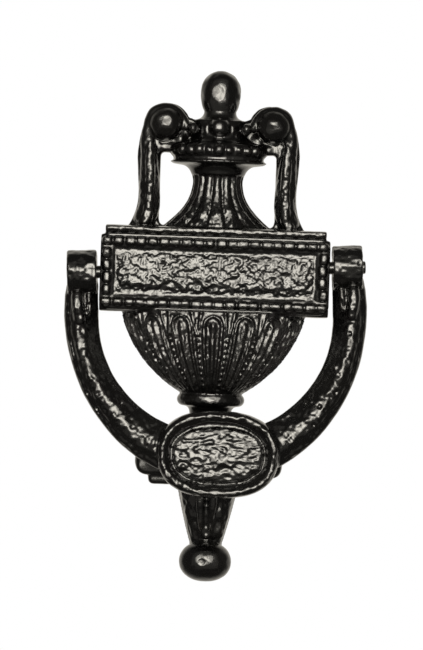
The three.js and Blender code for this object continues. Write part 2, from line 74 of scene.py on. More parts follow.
# %% Camera
LENS = 180
SENSOR = 36
PICTURE = (423, 650)
MM_PER_DOT = 0.39
LEAN = math.radians(1.95)
FACE_PLANE = -12
AIM_X, AIM_Z = -0.6, -19.7
half_height = PICTURE[1] * MM_PER_DOT / 2
distance = half_height / math.tan(math.atan(SENSOR / 2 / LENS))
camera_data = bpy.data.cameras.new("camera")
camera_data.lens = LENS
camera_data.sensor_width = SENSOR
camera_data.clip_end = 20
camera = bpy.data.objects.new("camera", camera_data)
bpy.context.scene.collection.objects.link(camera)
camera.matrix_world = (
    Matrix.Translation(Vector((AIM_X, FACE_PLANE - distance, AIM_Z)) * MM)
    @ Matrix.Rotation(-LEAN, 4, "Y")
    @ Matrix.Rotation(math.pi / 2, 4, "X")
)
bpy.context.scene.camera = camera
print("camera stands", round(distance), "mm in front of the knocker")

# %% [markdown]
# ## Light
#
# Black gloss has hardly any colour of its own. What the eye reads as its shape is the room that it
# mirrors. A big soft box by the lens, with a brighter one inside it, whitens every face that looks
# straight ahead. A third, very wide and faint, lifts the faces that are turned a little away. A
# white wall behind draws a pale line along each edge that is turned far away. The rest of the room
# is dim. The world is therefore bright behind the part and dim in front of it for gloss, while the
# camera, and matt things such as the floor, see plain white all round.

# %% World
world = bpy.data.worlds.new("studio")
bpy.context.scene.world = world
world.use_nodes = True
nodes, links = world.node_tree.nodes, world.node_tree.links
nodes.clear()
direction = nodes.new("ShaderNodeTexCoord")
split = nodes.new("ShaderNodeSeparateXYZ")
wall = nodes.new("ShaderNodeMapRange")
wall.interpolation_type = "SMOOTHSTEP"
wall.inputs["From Min"].default_value = 0.1
wall.inputs["From Max"].default_value = 0.75
wall.inputs["To Min"].default_value = 0.06
wall.inputs["To Max"].default_value = 0.55
room = nodes.new("ShaderNodeBackground")
room.inputs["Color"].default_value = (1, 0.95, 0.84, 1)
plain = nodes.new("ShaderNodeBackground")
plain.inputs["Color"].default_value = (1, 1, 1, 1)
seen = nodes.new("ShaderNodeLightPath")
matt = nodes.new("ShaderNodeMath")
matt.operation = "MAXIMUM"
chosen = nodes.new("ShaderNodeMixShader")
output = nodes.new("ShaderNodeOutputWorld")
links.new(direction.outputs["Generated"], split.inputs[0])
links.new(split.outputs["Y"], wall.inputs["Value"])
links.new(wall.outputs[0], room.inputs["Strength"])
links.new(seen.outputs["Is Camera Ray"], matt.inputs[0])
links.new(seen.outputs["Is Diffuse Ray"], matt.inputs[1])
links.new(matt.outputs[0], chosen.inputs[0])
links.new(room.outputs[0], chosen.inputs[1])
links.new(plain.outputs[0], chosen.inputs[2])
links.new(chosen.outputs[0], output.inputs["Surface"])
print("world: bright behind the knocker, dim in front")

# %% Soft boxes
LAMP_COLOUR = (1.0, 0.955, 0.85)


def soft_box(name, away, left, right, low, high, brightness):
    """A soft box whose edges lie at these angles, in degrees, as the knocker sees them."""
    x0, x1, z0, z1 = [away * math.tan(math.radians(a)) for a in (left, right, low, high)]
    data = bpy.data.lights.new(name, "AREA")
    data.shape = "RECTANGLE"
    data.size = x1 - x0
    data.size_y = z1 - z0
    data.energy = brightness * math.pi * data.size * data.size_y
    data.color = LAMP_COLOUR
    lamp = bpy.data.objects.new(name, data)
    bpy.context.scene.collection.objects.link(lamp)
    lamp.location = ((x0 + x1) / 2, -away, (z0 + z1) / 2)
    lamp.rotation_euler = Vector((0, 1, 0)).to_track_quat("-Z", "Y").to_euler()
    print(name, "is", round(data.size, 2), "by", round(data.size_y, 2), "m")


soft_box("front_box", 1.6, -24, 22, -8, 33, 3.3)
soft_box("front_core", 1.55, -12, 9, -2, 20, 6.0)
soft_box("wide_glow", 1.7, -50, 48, -38, 56, 0.13)
bpy.context.scene.view_settings.view_transform = "Standard"
bpy.context.scene.view_settings.look = "None"

# %% [markdown]
# ## Clean forms: the pattern maker's stock
#
# A casting pattern is made of turned pieces, flat boards cut to an outline, rolls, balls and
# lofted bars, all glued together. Each helper below returns one closed shell as points and faces,
# in millimetres. Shells may run through each other, because a later step fuses them.

# %% Outline helper
class Outline:
    """A line of points that grows by straight, curved and round stretches."""

    def __init__(self, x, z):
        self.points = [(x, z)]

    def line(self, x, z):
        self.points.append((x, z))
        return self

    def curve(self, *controls):
        start = self.points[-1]
        corners = np.array([start, *zip(controls[::2], controls[1::2])], float)
        for t in np.linspace(0, 1, 17)[1:]:
            row = corners
            while len(row) > 1:
                row = row[:-1] * (1 - t) + row[1:] * t
            self.points.append(tuple(row[0]))
        return self

    def arc(self, x, z, radius, start, end):
        for angle in np.linspace(start, end, 15):
            self.points.append((x + radius * math.cos(angle), z + radius * math.sin(angle)))
        return self


def evenly(points, step):
    points = np.asarray(points, float)
    length = np.r_[0, np.cumsum(np.linalg.norm(np.diff(points, axis=0), axis=1))]
    places = np.linspace(0, length[-1], max(3, round(length[-1] / step) + 1))
    return np.stack([np.interp(places, length, column) for column in points.T], axis=1)


def woven(rows, columns, wrap=True):
    """The four-sided faces between rows of points."""
    i = np.arange(rows - 1)[:, None] * columns
    j = np.arange(columns if wrap else columns - 1)[None, :]
    k = (j + 1) % columns
    return np.stack([i + j, i + k, i + columns + k, i + columns + j], axis=-1).reshape(-1, 4)


def lofted(rings):
    """A closed shell through rings of equally many points, with a flat cap at each end."""
    rings = np.asarray(rings, float)
    rows, columns = rings.shape[:2]
    faces = woven(rows, columns).tolist()
    faces.append(list(range(columns))[::-1])
    faces.append(list(range((rows - 1) * columns, rows * columns)))
    return rings.reshape(-1, 3), faces


print("outline helper ready")

# %% [markdown]
# ## Turned pieces, balls, rolls and boards
#
# A turned piece and a ball are rings of points about a line. A roll is rings carried along a drawn
# line, and a board is one outline pushed back. Two numbers give the relief its look: a turned form
# is pressed flatter the wider it is, and nothing reaches behind the door's face.

# %% Turned relief, balls, rolls and boards
AXIS_DEPTH = 3
RELIEF_LIMIT = 20


def turned(path, segments=200, axis=AXIS_DEPTH, carve=None, step=0.5, limit=RELIEF_LIMIT):
    """A turned form pressed flatter the wider it is. carve gives what is taken off the radius."""
    path = evenly(path, step)
    radius, height = path[:, :1], path[:, 1:]
    angle = np.linspace(0, 2 * np.pi, segments, endpoint=False)[None, :]
    cut = radius - (carve(angle, radius, height) if carve else 0)
    flattened = 1 / np.hypot(1, radius / limit)
    x = cut * np.sin(angle)
    y = np.minimum(-cut * np.cos(angle) * flattened - axis, 0)
    z = height + 0 * angle
    return lofted(np.stack([x, y, z], axis=-1))


def ball(centre, radii, segments=28, plump=2.0):
    """A ball, or with plump above 2 a cushion-like lump with a flatter crown."""
    path = [(math.sin(t), -math.cos(t)) for t in np.linspace(0.02, math.pi - 0.02, segments // 2)]
    angle = np.linspace(0, 2 * np.pi, segments, endpoint=False)
    rings = [[(r * math.cos(a), r * math.sin(a), z) for a in angle] for r, z in path]
    points, faces = lofted(rings)
    points /= (np.abs(points) ** plump).sum(axis=1, keepdims=True) ** (1 / plump)
    points = points * np.broadcast_to(radii, 3) + centre
    points[:, 1] = np.minimum(points[:, 1], 0)
    return points, faces


def smooth_line(points, step=0.5):
    """A Catmull-Rom line through a few points, cut into even steps."""
    p = np.asarray(points, float)
    p = np.vstack([2 * p[0] - p[1], p, 2 * p[-1] - p[-2]])
    out = []
    for a, b, c, d in zip(p, p[1:], p[2:], p[3:]):
        for t in np.linspace(0, 1, 12, endpoint=False):
            out.append(0.5 * (2 * b + (c - a) * t + (2 * a - 5 * b + 4 * c - d) * t * t
                              + (3 * b - a - 3 * c + d) * t ** 3))
    out.append(p[-2])
    return evenly(out, step)


def roll(points, radius, ends=(1, 1), sides=18, proud=1.0):
    """A round bar along a line, with rounded ends. ends gives the radius along it as shares."""
    line = smooth_line(points)
    count = len(line)
    along = np.gradient(line, axis=0)
    along /= np.linalg.norm(along, axis=1, keepdims=True)
    side = np.cross(along, (0, 1, 0))
    side /= np.linalg.norm(side, axis=1, keepdims=True)
    front = np.cross(side, along)
    share = np.interp(np.arange(count), np.linspace(0, count - 1, len(ends)), ends)
    reach = np.minimum(np.arange(count), np.arange(count)[::-1]) * 0.5
    tip = np.clip(reach / (radius * share), 0, 1)
    size = radius * share * np.sqrt(np.clip(1 - (1 - tip) ** 2, 0.02, 1))
    angle = np.linspace(0, 2 * np.pi, sides, endpoint=False)
    rings = (line[:, None] + size[:, None, None] * (
        np.cos(angle)[None, :, None] * side[:, None]
        + proud * np.sin(angle)[None, :, None] * front[:, None]))
    rings[..., 1] = np.minimum(rings[..., 1], 0)
    return lofted(rings)


def board(outline, depth, bevel=0.0, back=0.0):
    """A flat outline in x and z, sawn to a depth, with its front edge rounded over."""
    work = bmesh.new()
    face = work.faces.new([work.verts.new((x, -back, z)) for x, z in outline])
    front = bmesh.ops.extrude_face_region(work, geom=[face])["geom"]
    moved = [g for g in front if isinstance(g, bmesh.types.BMVert)]
    bmesh.ops.translate(work, vec=(0, back - depth, 0), verts=moved)
    if bevel:
        rim = [e for e in work.edges if all(v in moved for v in e.verts)]
        bmesh.ops.bevel(work, geom=rim, offset=bevel, segments=3, affect="EDGES", profile=0.6)
    work.verts.index_update()
    points = np.array([v.co for v in work.verts], float)
    faces = [[v.index for v in f.verts] for f in work.faces]
    work.free()
    return points, faces


def rectangle(width, bottom, top, corner=0.4):
    half = width / 2
    outline = Outline(half - corner, bottom)
    outline.curve(half, bottom, half, bottom + corner).line(half, top - corner)
    outline.curve(half, top, half - corner, top).line(corner - half, top)
    outline.curve(-half, top, -half, top - corner).line(-half, bottom + corner)
    return outline.curve(-half, bottom, corner - half, bottom).points


def cushion(width, height, middle, depth, step=0.6):
    """A closed block whose front follows depth(u, v), with u and v from -1 to 1."""
    columns, rows = round(width / step), round(height / step)
    u, v = np.meshgrid(np.linspace(-1, 1, columns), np.linspace(-1, 1, rows))
    x, z = u * width / 2, v * height / 2 + middle
    front = np.stack([x, -depth(u, v), z], axis=-1).reshape(-1, 3)
    back = np.stack([x, 0 * x - 5, z], axis=-1).reshape(-1, 3)
    sheet = woven(rows, columns, wrap=False)
    count = rows * columns
    edge = [*range(columns), *range(2 * columns - 1, count, columns),
            *range(count - 2, count - columns - 1, -1), *range(count - 2 * columns, 0, -columns)]
    sides = [[a, b, b + count, a + count] for a, b in zip(edge, edge[1:] + edge[:1])]
    return np.vstack([front, back]), sheet.tolist() + (sheet[:, ::-1] + count).tolist() + sides


print("stock helpers ready")

# %% [markdown]
# ## Noise that repeats
#
# Sand, hammer marks and thick enamel are all uneven in the same seeded way each time the script
# runs. Value noise is a lattice of random numbers blended between its corners, and a few octaves
# of it make a rough skin. Cell noise measures the way to the nearest of many scattered points,
# which looks like the small round dents that a hammer leaves in a pattern.

# %% Noise
LATTICE = 32
LATTICE_START = 100


def noise(points, size, seed):
    table = np.random.default_rng(seed).uniform(-1, 1, (LATTICE,) * 3)
    place = np.asarray(points, float) / size + LATTICE_START
    low = np.floor(place).astype(int)
    part = place - low
    part = part * part * (3 - 2 * part)
    total = 0
    for corner in np.ndindex(2, 2, 2):
        weight = np.prod(np.where(corner, part, 1 - part), axis=1)
        i, j, k = ((low + corner) % LATTICE).T
        total = total + weight * table[i, j, k]
    return total


def rough(points, size, seed, octaves=3):
    layers = [noise(points, np.asarray(size) / 2 ** n, seed + n) / 2 ** n for n in range(octaves)]
    return sum(layers) / sum(1 / 2 ** n for n in range(octaves))


def dents(points, size, seed):
    """The way to the nearest scattered point, as a share of the spacing."""
    scatter = np.random.default_rng(seed).uniform(0, 1, (LATTICE, LATTICE, LATTICE, 3))
    place = np.asarray(points, float) / size + LATTICE_START
    home = np.floor(place).astype(int)
    nearest = np.full(len(place), 9.0)
    for shift in np.ndindex(3, 3, 3):
        cell = home + shift - 1
        i, j, k = (cell % LATTICE).T
        nearest = np.minimum(nearest, np.linalg.norm(cell + scatter[i, j, k] - place, axis=1))
    return nearest


def blend(value, low, high):
    """0 below low, 1 above high, and smooth between them."""
    t = np.clip((value - low) / (high - low), 0, 1)
    return t * t * (3 - 2 * t)


def over(value, limit, soft=1.0):
    return blend(value, limit, limit + soft)


def under(value, limit, soft=1.0):
    return blend(limit - value, 0, soft)


print("noise ready")

# %% [markdown]
# ## Fusing the shells
#
# Foundry sand has no joints: every glued seam of the pattern becomes one skin with soft inside
# corners. A voxel remesh does the same to the overlapping shells. It also gives an even mesh, fine
# enough to carry the roughness as real shape. A little smoothing first takes the voxel steps away.

# %% Fuse, smooth and roughen
VOXEL = 0.32
BOX_MARGIN = 0.02
PROUD_FULL = 0.16


def new_object(name, mesh):
    obj = bpy.data.objects.new(name, mesh)
    bpy.context.scene.collection.objects.link(obj)
    return obj


def mesh_of(shells):
    points, faces, start = [], [], 0
    for shell_points, shell_faces in shells:
        points.append(shell_points)
        faces.extend([[i + start for i in face] for face in shell_faces])
        start += len(shell_points)
    mesh = bpy.data.meshes.new("shells")
    mesh.from_pydata(np.vstack(points), [], faces)
    return mesh


def bake(obj):
    """Applies the object's modifiers to its mesh, and leaves none on it."""
    mesh = bpy.data.meshes.new_from_object(obj.evaluated_get(bpy.context.evaluated_depsgraph_get()))
    obj.modifiers.clear()
    obj.data = mesh


def rows_of(values, name, count):
    flat = np.empty(count * 3, np.float32)
    values.foreach_get(name, flat)
    return flat.reshape(-1, 3).astype(float)


def points_of(mesh):
    return rows_of(mesh.vertices, "co", len(mesh.vertices))


def normals_of(mesh):
    return rows_of(mesh.vertex_normals, "vector", len(mesh.vertices))


def set_points(mesh, points):
    mesh.vertices.foreach_set("co", points.astype(np.float32).ravel())
    mesh.update()


def eased(mesh, points, rounds, share=0.5):
    """Each point moves part of the way to the middle of its neighbours, again and again."""
    pairs = np.empty(len(mesh.edges) * 2, np.int32)
    mesh.edges.foreach_get("vertices", pairs)
    a, b = pairs.reshape(-1, 2).T
    ends, others = np.r_[a, b], np.r_[b, a]
    count = np.maximum(np.bincount(ends, minlength=len(points)), 1)
    for _ in range(rounds):
        middle = np.stack([np.bincount(ends, points[others, i], len(points)) / count
                           for i in range(3)], axis=1)
        points = points + share * (middle - points)
    return points


def turn_outwards(mesh):
    work = bmesh.new()
    work.from_mesh(mesh)
    bmesh.ops.recalc_face_normals(work, faces=work.faces)
    work.to_mesh(mesh)
    work.free()


def fused(name, shells, rounds=4):
    obj = new_object(name, mesh_of(shells))
    remesh = obj.modifiers.new("fuse", "REMESH")
    remesh.mode = "VOXEL"
    remesh.voxel_size = VOXEL
    bake(obj)
    set_points(obj.data, eased(obj.data, points_of(obj.data), rounds))
    print(name, "has", len(obj.data.vertices), "points")
    return obj


def cut_away(obj, shells):
    """Drills and hollows, cut cleanly after the skin is rough."""
    tool = new_object("cutter", mesh_of(shells))
    turn_outwards(tool.data)
    drill = obj.modifiers.new("drill", "BOOLEAN")
    drill.operation = "DIFFERENCE"
    drill.solver = "MANIFOLD"
    drill.object = tool
    bake(obj)
    bpy.data.objects.remove(tool)


def finish_casting(obj, box):
    """Keeps the skin in its CAD box, stores how proud each point stands, and turns mm to metres."""
    mesh = obj.data
    low, high = (np.array(corner) for corner in box)
    points = np.clip(points_of(mesh), low + BOX_MARGIN, high - BOX_MARGIN)
    points[:, 1] = np.where(points_of(mesh)[:, 1] > high[1] - BOX_MARGIN, high[1], points[:, 1])
    set_points(mesh, points)
    proud = np.sum((points - eased(mesh, points, 8)) * normals_of(mesh), axis=1)
    layer = mesh.attributes.new("proud", "FLOAT", "POINT")
    layer.data.foreach_set("value", np.clip(proud / PROUD_FULL, -1, 1).astype(np.float32))
    mesh.transform(Matrix.Scale(MM, 4))
    mesh.shade_smooth()
    print(obj.name, "finished with", len(mesh.vertices), "points")


print("voxel", VOXEL, "mm")

# %% [markdown]
# ## The back casting: sizes
#
# The widths and levels of the urn follow its outline from top to bottom, as a pattern maker would
# mark them on the board: panel, neck, lid and finial upwards, bowl, foot, plinth and tail downwards.
# The outer ones are read from the frame, so the skin cannot drift away from the solid that swings.

# %% Sizes of the back casting
panel_half = plate_high[0]
PANEL_TOP = 14.5
PANEL_DEPTH = 16
FIELD_INSET = (5.6, 6.0)
BEAD_INSET = 2.6
BEAD_PITCH = 4.48
CORNICE_HALF = panel_half - 1.7
CORNICE_HEIGHT = 3.3
CORNICE_DEPTH = 18
NECK_RADIUS = 9.8
NECK_FLARE = 11
REEDS = 16
REED_DEPTH = 1.6
NECK_LIMIT = 15
LID_RADIUS = 19
LID_HEIGHT = 8.6
DOME_RADIUS = 10.4
DOME_HEIGHT = 8.5
FINIAL_RADIUS = 7.9
FINIAL_HEIGHT = 16
COLLAR_RADIUS = 6.2
BOWL_RADIUS = 37
BOWL_HEIGHT = 32
FOOT_RADIUS = 13.3
FOOT_HEIGHT = 5
STALK_RADIUS = 8
PLINTH_WIDTH = 57
PLINTH_HEIGHT = 18.4
PLINTH_DEPTH = 13
BALL_RADIUS = 10.2
BALL_HALF_HEIGHT = 7.8
finial_bottom = plate_high[2] - FINIAL_HEIGHT
dome_top = finial_bottom - 3.5
lid_top = dome_top - DOME_HEIGHT
lid_bottom = lid_top - LID_HEIGHT
neck_top = lid_bottom - 4.4
neck_bottom = PANEL_TOP + CORNICE_HEIGHT
bowl_top = -PANEL_TOP
bowl_bottom = bowl_top - BOWL_HEIGHT
foot_bottom = bowl_bottom - FOOT_HEIGHT
plinth_top = foot_bottom - 9.1
plinth_bottom = plinth_top - PLINTH_HEIGHT
tail_top = plinth_bottom - 3.5
ball_middle = plate_low[2] + BALL_HALF_HEIGHT
tail_bottom = ball_middle + BALL_HALF_HEIGHT - 0.8
print("levels, mm:", [round(v, 1) for v in (finial_bottom, lid_bottom, neck_bottom, bowl_bottom,
                                            plinth_top, tail_top, ball_middle)])

# %% [markdown]
# ## The name panel
#
# On the real knocker a family name could be engraved in the panel. This one was left blank, and
# its field is hammered. A frame of beads runs round it. The beads are balls pressed into the board
# at an even pitch, and each is a little off in size and place, because they were cut by hand. Inside
# them the field swells like a pillow that sags a little.

# %% Panel, beads and cornice
hand = np.random.default_rng(11)


def name_panel():
    shells = [
        board(rectangle(2 * panel_half, bowl_top, PANEL_TOP, 0.9), PANEL_DEPTH - 0.9, 1.3),
        board(rectangle(2 * panel_half, bowl_top - 1, bowl_top + 2), PANEL_DEPTH - 1.5, 1.4),
    ]
    for side in (-1, 1):
        x, z = panel_half - BEAD_INSET, PANEL_TOP - BEAD_INSET
        depth = 0.9 - PANEL_DEPTH
        upright = [(side * x, depth, z * t) for t in np.linspace(-1.14, 1.14, 6)]
        level = [(x * t, depth, side * z) for t in np.linspace(-1.04, 1.04, 8)]
        shells += [roll(line, 2.9, proud=0.25, sides=24) for line in (upright, level)]
    return shells


def hammered_field():
    width, height = 2 * (panel_half - FIELD_INSET[0]), 2 * (PANEL_TOP - FIELD_INSET[1])

    def depth(u, v):
        pillow = (1 - np.abs(u) ** 14) ** 0.5 * (1 - np.abs(v + 0.04) ** 5).clip(0) ** 0.5
        sag = (-0.2 - v).clip(0) ** 2
        return PANEL_DEPTH - 1.9 + 1.75 * pillow - 1.1 * sag

    return cushion(width, height, 0, depth)


def bead_frame():
    length, height = 2 * (panel_half - BEAD_INSET), 2 * (PANEL_TOP - BEAD_INSET)
    across, down = round(length / BEAD_PITCH), round(height / BEAD_PITCH)
    places = [(length * (i / across - 0.5), side * height / 2)
              for side in (-1, 1) for i in range(across + 1)]
    places += [(side * length / 2, height * (i / down - 0.5))
               for side in (-1, 1) for i in range(1, down)]
    shells = []
    for x, z in places:
        long = 2.2 + 0.2 * hand.uniform(-1, 1)
        tall = 1.5 + 0.12 * hand.uniform(-1, 1)
        x = np.clip(x + 0.3 * hand.uniform(-1, 1), 1.9 - panel_half, panel_half - 1.9)
        if abs(z) < height / 2 - 0.1:
            long, tall = tall, long
        shells.append(ball((x, -PANEL_DEPTH + 0.3, z), (long, 1.15, tall), 24, 3.6))
    return shells


def cornice():
    """A cove below and a thin upright lip with a flat face, run along the panel."""
    top, lip, deep = PANEL_TOP + CORNICE_HEIGHT, 2.1, CORNICE_DEPTH
    section = Outline(0, PANEL_TOP - 1).line(PANEL_DEPTH - 1, PANEL_TOP - 1)
    section.curve(PANEL_DEPTH - 0.2, top - lip - 0.2, deep - 1.1, top - lip - 0.1)
    section.curve(deep, top - lip - 0.2, deep, top - lip + 0.5)
    section.line(deep, top - 0.5).curve(deep, top, deep - 0.9, top)
    section.line(deep - 4, top + 0.35).line(0, top + 0.5)
    shape = evenly(section.points, 0.45)
    ends = [(-CORNICE_HALF, 0.75), (-CORNICE_HALF + 0.3, 0.1), (CORNICE_HALF - 0.3, 0.1),
            (CORNICE_HALF, 0.75)]
    rings = [[(x, min(0, -d + inset * (d > deep - 3)), z) for d, z in shape] for x, inset in ends]
    return lofted(rings)


print("panel", round(2 * panel_half, 1), "mm wide, beads", BEAD_PITCH, "mm apart")

# %% [markdown]
# ## Neck, lid and finial
#
# The neck is reeded: sixteen flat reeds with sharp crests between them spread over the cornice.
# The lid is a flat torus with a row of beads, then a dome with one boss, and an egg for a finial.
# All of it is turned about one upright line and then pressed flat, because a relief that was half
# a true urn would stand too far off the door.

# %% Neck, lid and finial
def reeded_neck():
    foot = NECK_RADIUS + NECK_FLARE
    rise = neck_top - neck_bottom
    path = Outline(0.01, neck_bottom - 1).line(foot, neck_bottom - 1).line(foot, neck_bottom + 1.2)
    path.curve(NECK_RADIUS + NECK_FLARE * 0.45, neck_bottom + rise * 0.3,
               NECK_RADIUS, neck_bottom + rise * 0.52, NECK_RADIUS, neck_top - 2)
    path.line(NECK_RADIUS + 0.5, neck_top + 1).line(0.01, neck_top + 1)

    def reeds(angle, radius, height):
        sharp = np.abs(np.cos(angle * REEDS / 2 + 0.12))
        fade = blend(radius, 1, 8) * over(height, neck_bottom + 0.2, 2)
        return REED_DEPTH * (1 - sharp ** 0.5) * fade

    return turned(path.points, 640, carve=reeds, step=0.4, limit=NECK_LIMIT)


def lid_and_finial():
    bead = (LID_HEIGHT - 2) * 0.42
    middle = lid_bottom + LID_HEIGHT * 0.58
    path = Outline(0.01, neck_top - 1).line(NECK_RADIUS + 0.5, neck_top)
    path.curve(NECK_RADIUS + 1.7, lid_bottom - 0.6, LID_RADIUS * 0.8, lid_bottom - 0.4)
    path.line(LID_RADIUS - 1.1, lid_bottom).line(LID_RADIUS, lid_bottom + 0.8)
    path.curve(LID_RADIUS - 1.9, lid_bottom + 1.3, LID_RADIUS - 1.2, middle - bead + 0.4)
    path.arc(LID_RADIUS - bead, middle, bead, -math.pi / 3, math.pi / 2)
    path.curve(DOME_RADIUS + 0.4, lid_top, DOME_RADIUS + 0.2, lid_top + DOME_HEIGHT * 0.4)
    path.line(DOME_RADIUS - 0.3, dome_top)
    path.curve(COLLAR_RADIUS + 0.5, dome_top + 0.4, COLLAR_RADIUS, finial_bottom)
    low = finial_bottom
    path.curve(COLLAR_RADIUS + 1, low + FINIAL_HEIGHT * 0.12, FINIAL_RADIUS,
               low + FINIAL_HEIGHT * 0.25, FINIAL_RADIUS, low + FINIAL_HEIGHT * 0.47)
    path.curve(FINIAL_RADIUS, low + FINIAL_HEIGHT * 0.78, FINIAL_RADIUS * 0.55,
               low + FINIAL_HEIGHT, 0.01, low + FINIAL_HEIGHT)
    return turned(path.points, 320, step=0.4)


def rim_beads(pitch=3.9):
    depth = LID_RADIUS / math.hypot(1, LID_RADIUS / RELIEF_LIMIT)
    middle = lid_bottom + LID_HEIGHT * 0.58
    shells = []
    for step in range(-4, 5):
        angle = step * pitch / LID_RADIUS
        size = 1 + 0.3 * hand.uniform(-1, 1)
        place = (LID_RADIUS * math.sin(angle), 0.6 - AXIS_DEPTH - depth * math.cos(angle), middle)
        shells.append(ball(place, (pitch * 0.5 * size, 1.5 * size, 1.9 * size), 28, 2.1))
    return shells


def lid_boss():
    front = AXIS_DEPTH + DOME_RADIUS / math.hypot(1, DOME_RADIUS / RELIEF_LIMIT)
    middle = lid_top + DOME_HEIGHT * 0.62
    ring = [(5.3 * math.cos(a), -front + 1.3, middle - 0.6 + 4.6 * math.sin(a))
            for a in np.linspace(math.pi * 0.86, math.pi * 2.14, 18)]
    return [ball((0, 1.2 - front, middle), (4.2, 4.2, 4.0)), roll(ring, 1.15, (0.5, 0.5))]


print(REEDS, "reeds, lid", round(2 * LID_RADIUS), "mm wide")

# %% [markdown]
# ## Scroll handles
#
# Each handle starts on the cornice as a flat stem with a round outer roll and a thin rib, rises past
# the lid, bends over a ball and ends in a small curl against the dome. The flat part is a board
# sawn to the outline, and the rolls are laid on top of it. The two handles mirror each other.

# %% Scroll handles
STEM_WIDTH = 9.1
STEM_DEPTH = 5.2
EYE_RADIUS = 8
EYE_BALL = 6.9


def scroll_handle(side):
    inner = LID_RADIUS + 3.7
    outer = inner + STEM_WIDTH
    toe = outer + 3.4
    eye_x, eye_z = inner - 2.4, dome_top - 2.5
    wrap = EYE_RADIUS + 0.7
    slot_top = lid_bottom + 4.2
    outline = Outline(toe, neck_bottom - 3).line(toe, neck_bottom - 0.5)
    outline.curve(outer + 0.3, neck_bottom + 4, outer - 1.6, neck_bottom + 10,
                  outer - 0.6, neck_bottom + 18).line(outer, lid_bottom + 1.5)
    outline.curve(outer + 0.1, eye_z - 1, eye_x + wrap * 0.88, eye_z + wrap, eye_x, eye_z + wrap)
    outline.curve(eye_x - wrap * 0.65, eye_z + wrap, eye_x - wrap * 0.93, eye_z + wrap * 0.38)
    outline.line(2, dome_top - 2).line(2, slot_top).line(inner - 1.85, slot_top)
    outline.curve(inner, slot_top, inner, slot_top - 1.85).line(inner, neck_bottom + 4)
    outline.curve(inner, neck_bottom + 1, inner - 3, neck_bottom + 1).line(inner - 3, neck_bottom - 3)
    flat = board([(side * x, z) for x, z in outline.points], STEM_DEPTH, 1.6)

    def along(x, z, depth=STEM_DEPTH):
        return side * x, -depth, z

    edge = outer - 4.3
    arch = outer - 2.9
    rib = outer - 4.9
    outer_roll = roll([
        along(edge + 2.4, neck_bottom - 0.6, 5.2), along(edge + 0.3, neck_bottom + 4.5, 5.4),
        along(edge - 1.0, neck_bottom + 10, 5.6), along(edge - 0.2, lid_bottom + 1, 6.0),
        along(arch - 0.9, lid_top, 7.4), along(arch - 2.0, eye_z + 0.5, 8.4),
        along(eye_x + EYE_RADIUS * 0.55, eye_z + EYE_RADIUS * 0.6, 8.8),
        along(eye_x - 1, eye_z + wrap - 2.9, 8.6),
        along(eye_x - EYE_RADIUS * 0.68, eye_z + EYE_RADIUS * 0.3, 8.2),
        along(eye_x - EYE_RADIUS * 1.0, eye_z - 2.2, 9.4)],
        4.2, (1, 1, 0.98, 0.8, 0.66, 0.64, 0.6, 0.42), 32)
    inner_rib = roll([
        along(rib + 2.4, neck_bottom, 8.6), along(rib + 0.2, neck_bottom + 5, 8.9),
        along(rib - 0.5, neck_bottom + 15, 9.3), along(rib, lid_bottom + 5, 9.4),
        along(rib - 0.3, eye_z - 3, 8.6)], 1.9, (1.3, 1, 1, 0.6), 20, 0.75)
    curl = ball(along(eye_x - wrap - 1.1, eye_z - 1.2, 10), (2.1, 2.2, 2.6))
    eye = ball(along(eye_x + 0.8, eye_z + 0.4, 8.2), (EYE_BALL, EYE_BALL, EYE_BALL), 48)
    return [flat, outer_roll, inner_rib, curl, eye]


print("handles", STEM_WIDTH, "mm wide, eyes", 2 * EYE_BALL, "mm")

# %% [markdown]
# ## The gadrooned bowl
#
# The bowl carries tongue and dart work. A tongue is a long pillow inside a raised outline that
# closes in an arch under the panel. Between two tongues a V-shaped leaf narrows to a string of
# beads. Nothing here needs a drawing: the angle round the bowl and the height on it say how much
# metal is left standing, and the turned form is carved by that much.

# %% Bowl, foot and the hollow behind it
TONGUES = 17


def bowl_path(inset):
    radius, foot = BOWL_RADIUS - inset, FOOT_RADIUS - 0.8 - inset
    path = Outline(0.01, bowl_bottom + inset).line(foot, bowl_bottom + inset)
    path.curve(BOWL_RADIUS * 0.65 - inset, bowl_bottom + BOWL_HEIGHT * 0.2 + inset * 0.5,
               BOWL_RADIUS * 0.9 - inset, bowl_bottom + BOWL_HEIGHT * 0.53 + inset * 0.3,
               radius, bowl_top - inset * 0.7)
    return path.line(0.01, bowl_top - inset * 0.7).points


def tongue_and_dart(angle, radius, height):
    down = (bowl_top - height) / BOWL_HEIGHT
    pitch = np.pi / TONGUES
    off = np.abs((angle + pitch) % (2 * pitch) - pitch)
    half = 0.56 * pitch
    arch = half * np.sqrt(np.clip(1 - np.clip((0.2 - down) / 0.14, 0, 1) ** 2, 0.001, 1))
    narrow = np.clip(radius / BOWL_RADIUS, 0.45, 1)
    rib = np.exp(-(off * radius / (1.25 * narrow)) ** 2) * blend(down, 0.1, 0.18)
    outline = np.exp(-((off - arch) * radius / (0.8 * narrow)) ** 2) * blend(down, 0.03, 0.07)
    leaf = (pitch - off) - 0.30 * pitch * np.clip(1 - down / 0.4, 0, 1)
    string = np.where(down < 0.3, 1, 0.6 + 0.4 * np.sin(height * 2 * np.pi / 2.2))
    dart = np.exp(-(leaf * radius / (0.75 * narrow)) ** 2) * string
    stands = np.maximum(np.maximum(1.55 * rib, 1.7 * outline), 1.45 * dart)
    fade = blend(radius, 4, 16) * (0.6 + 0.4 * blend(1 - down, 0.0, 0.35))
    return fade * np.clip(1.9 - stands, 0, 1.9)


def bowl():
    return turned(bowl_path(0), 900, carve=tongue_and_dart, step=0.33)


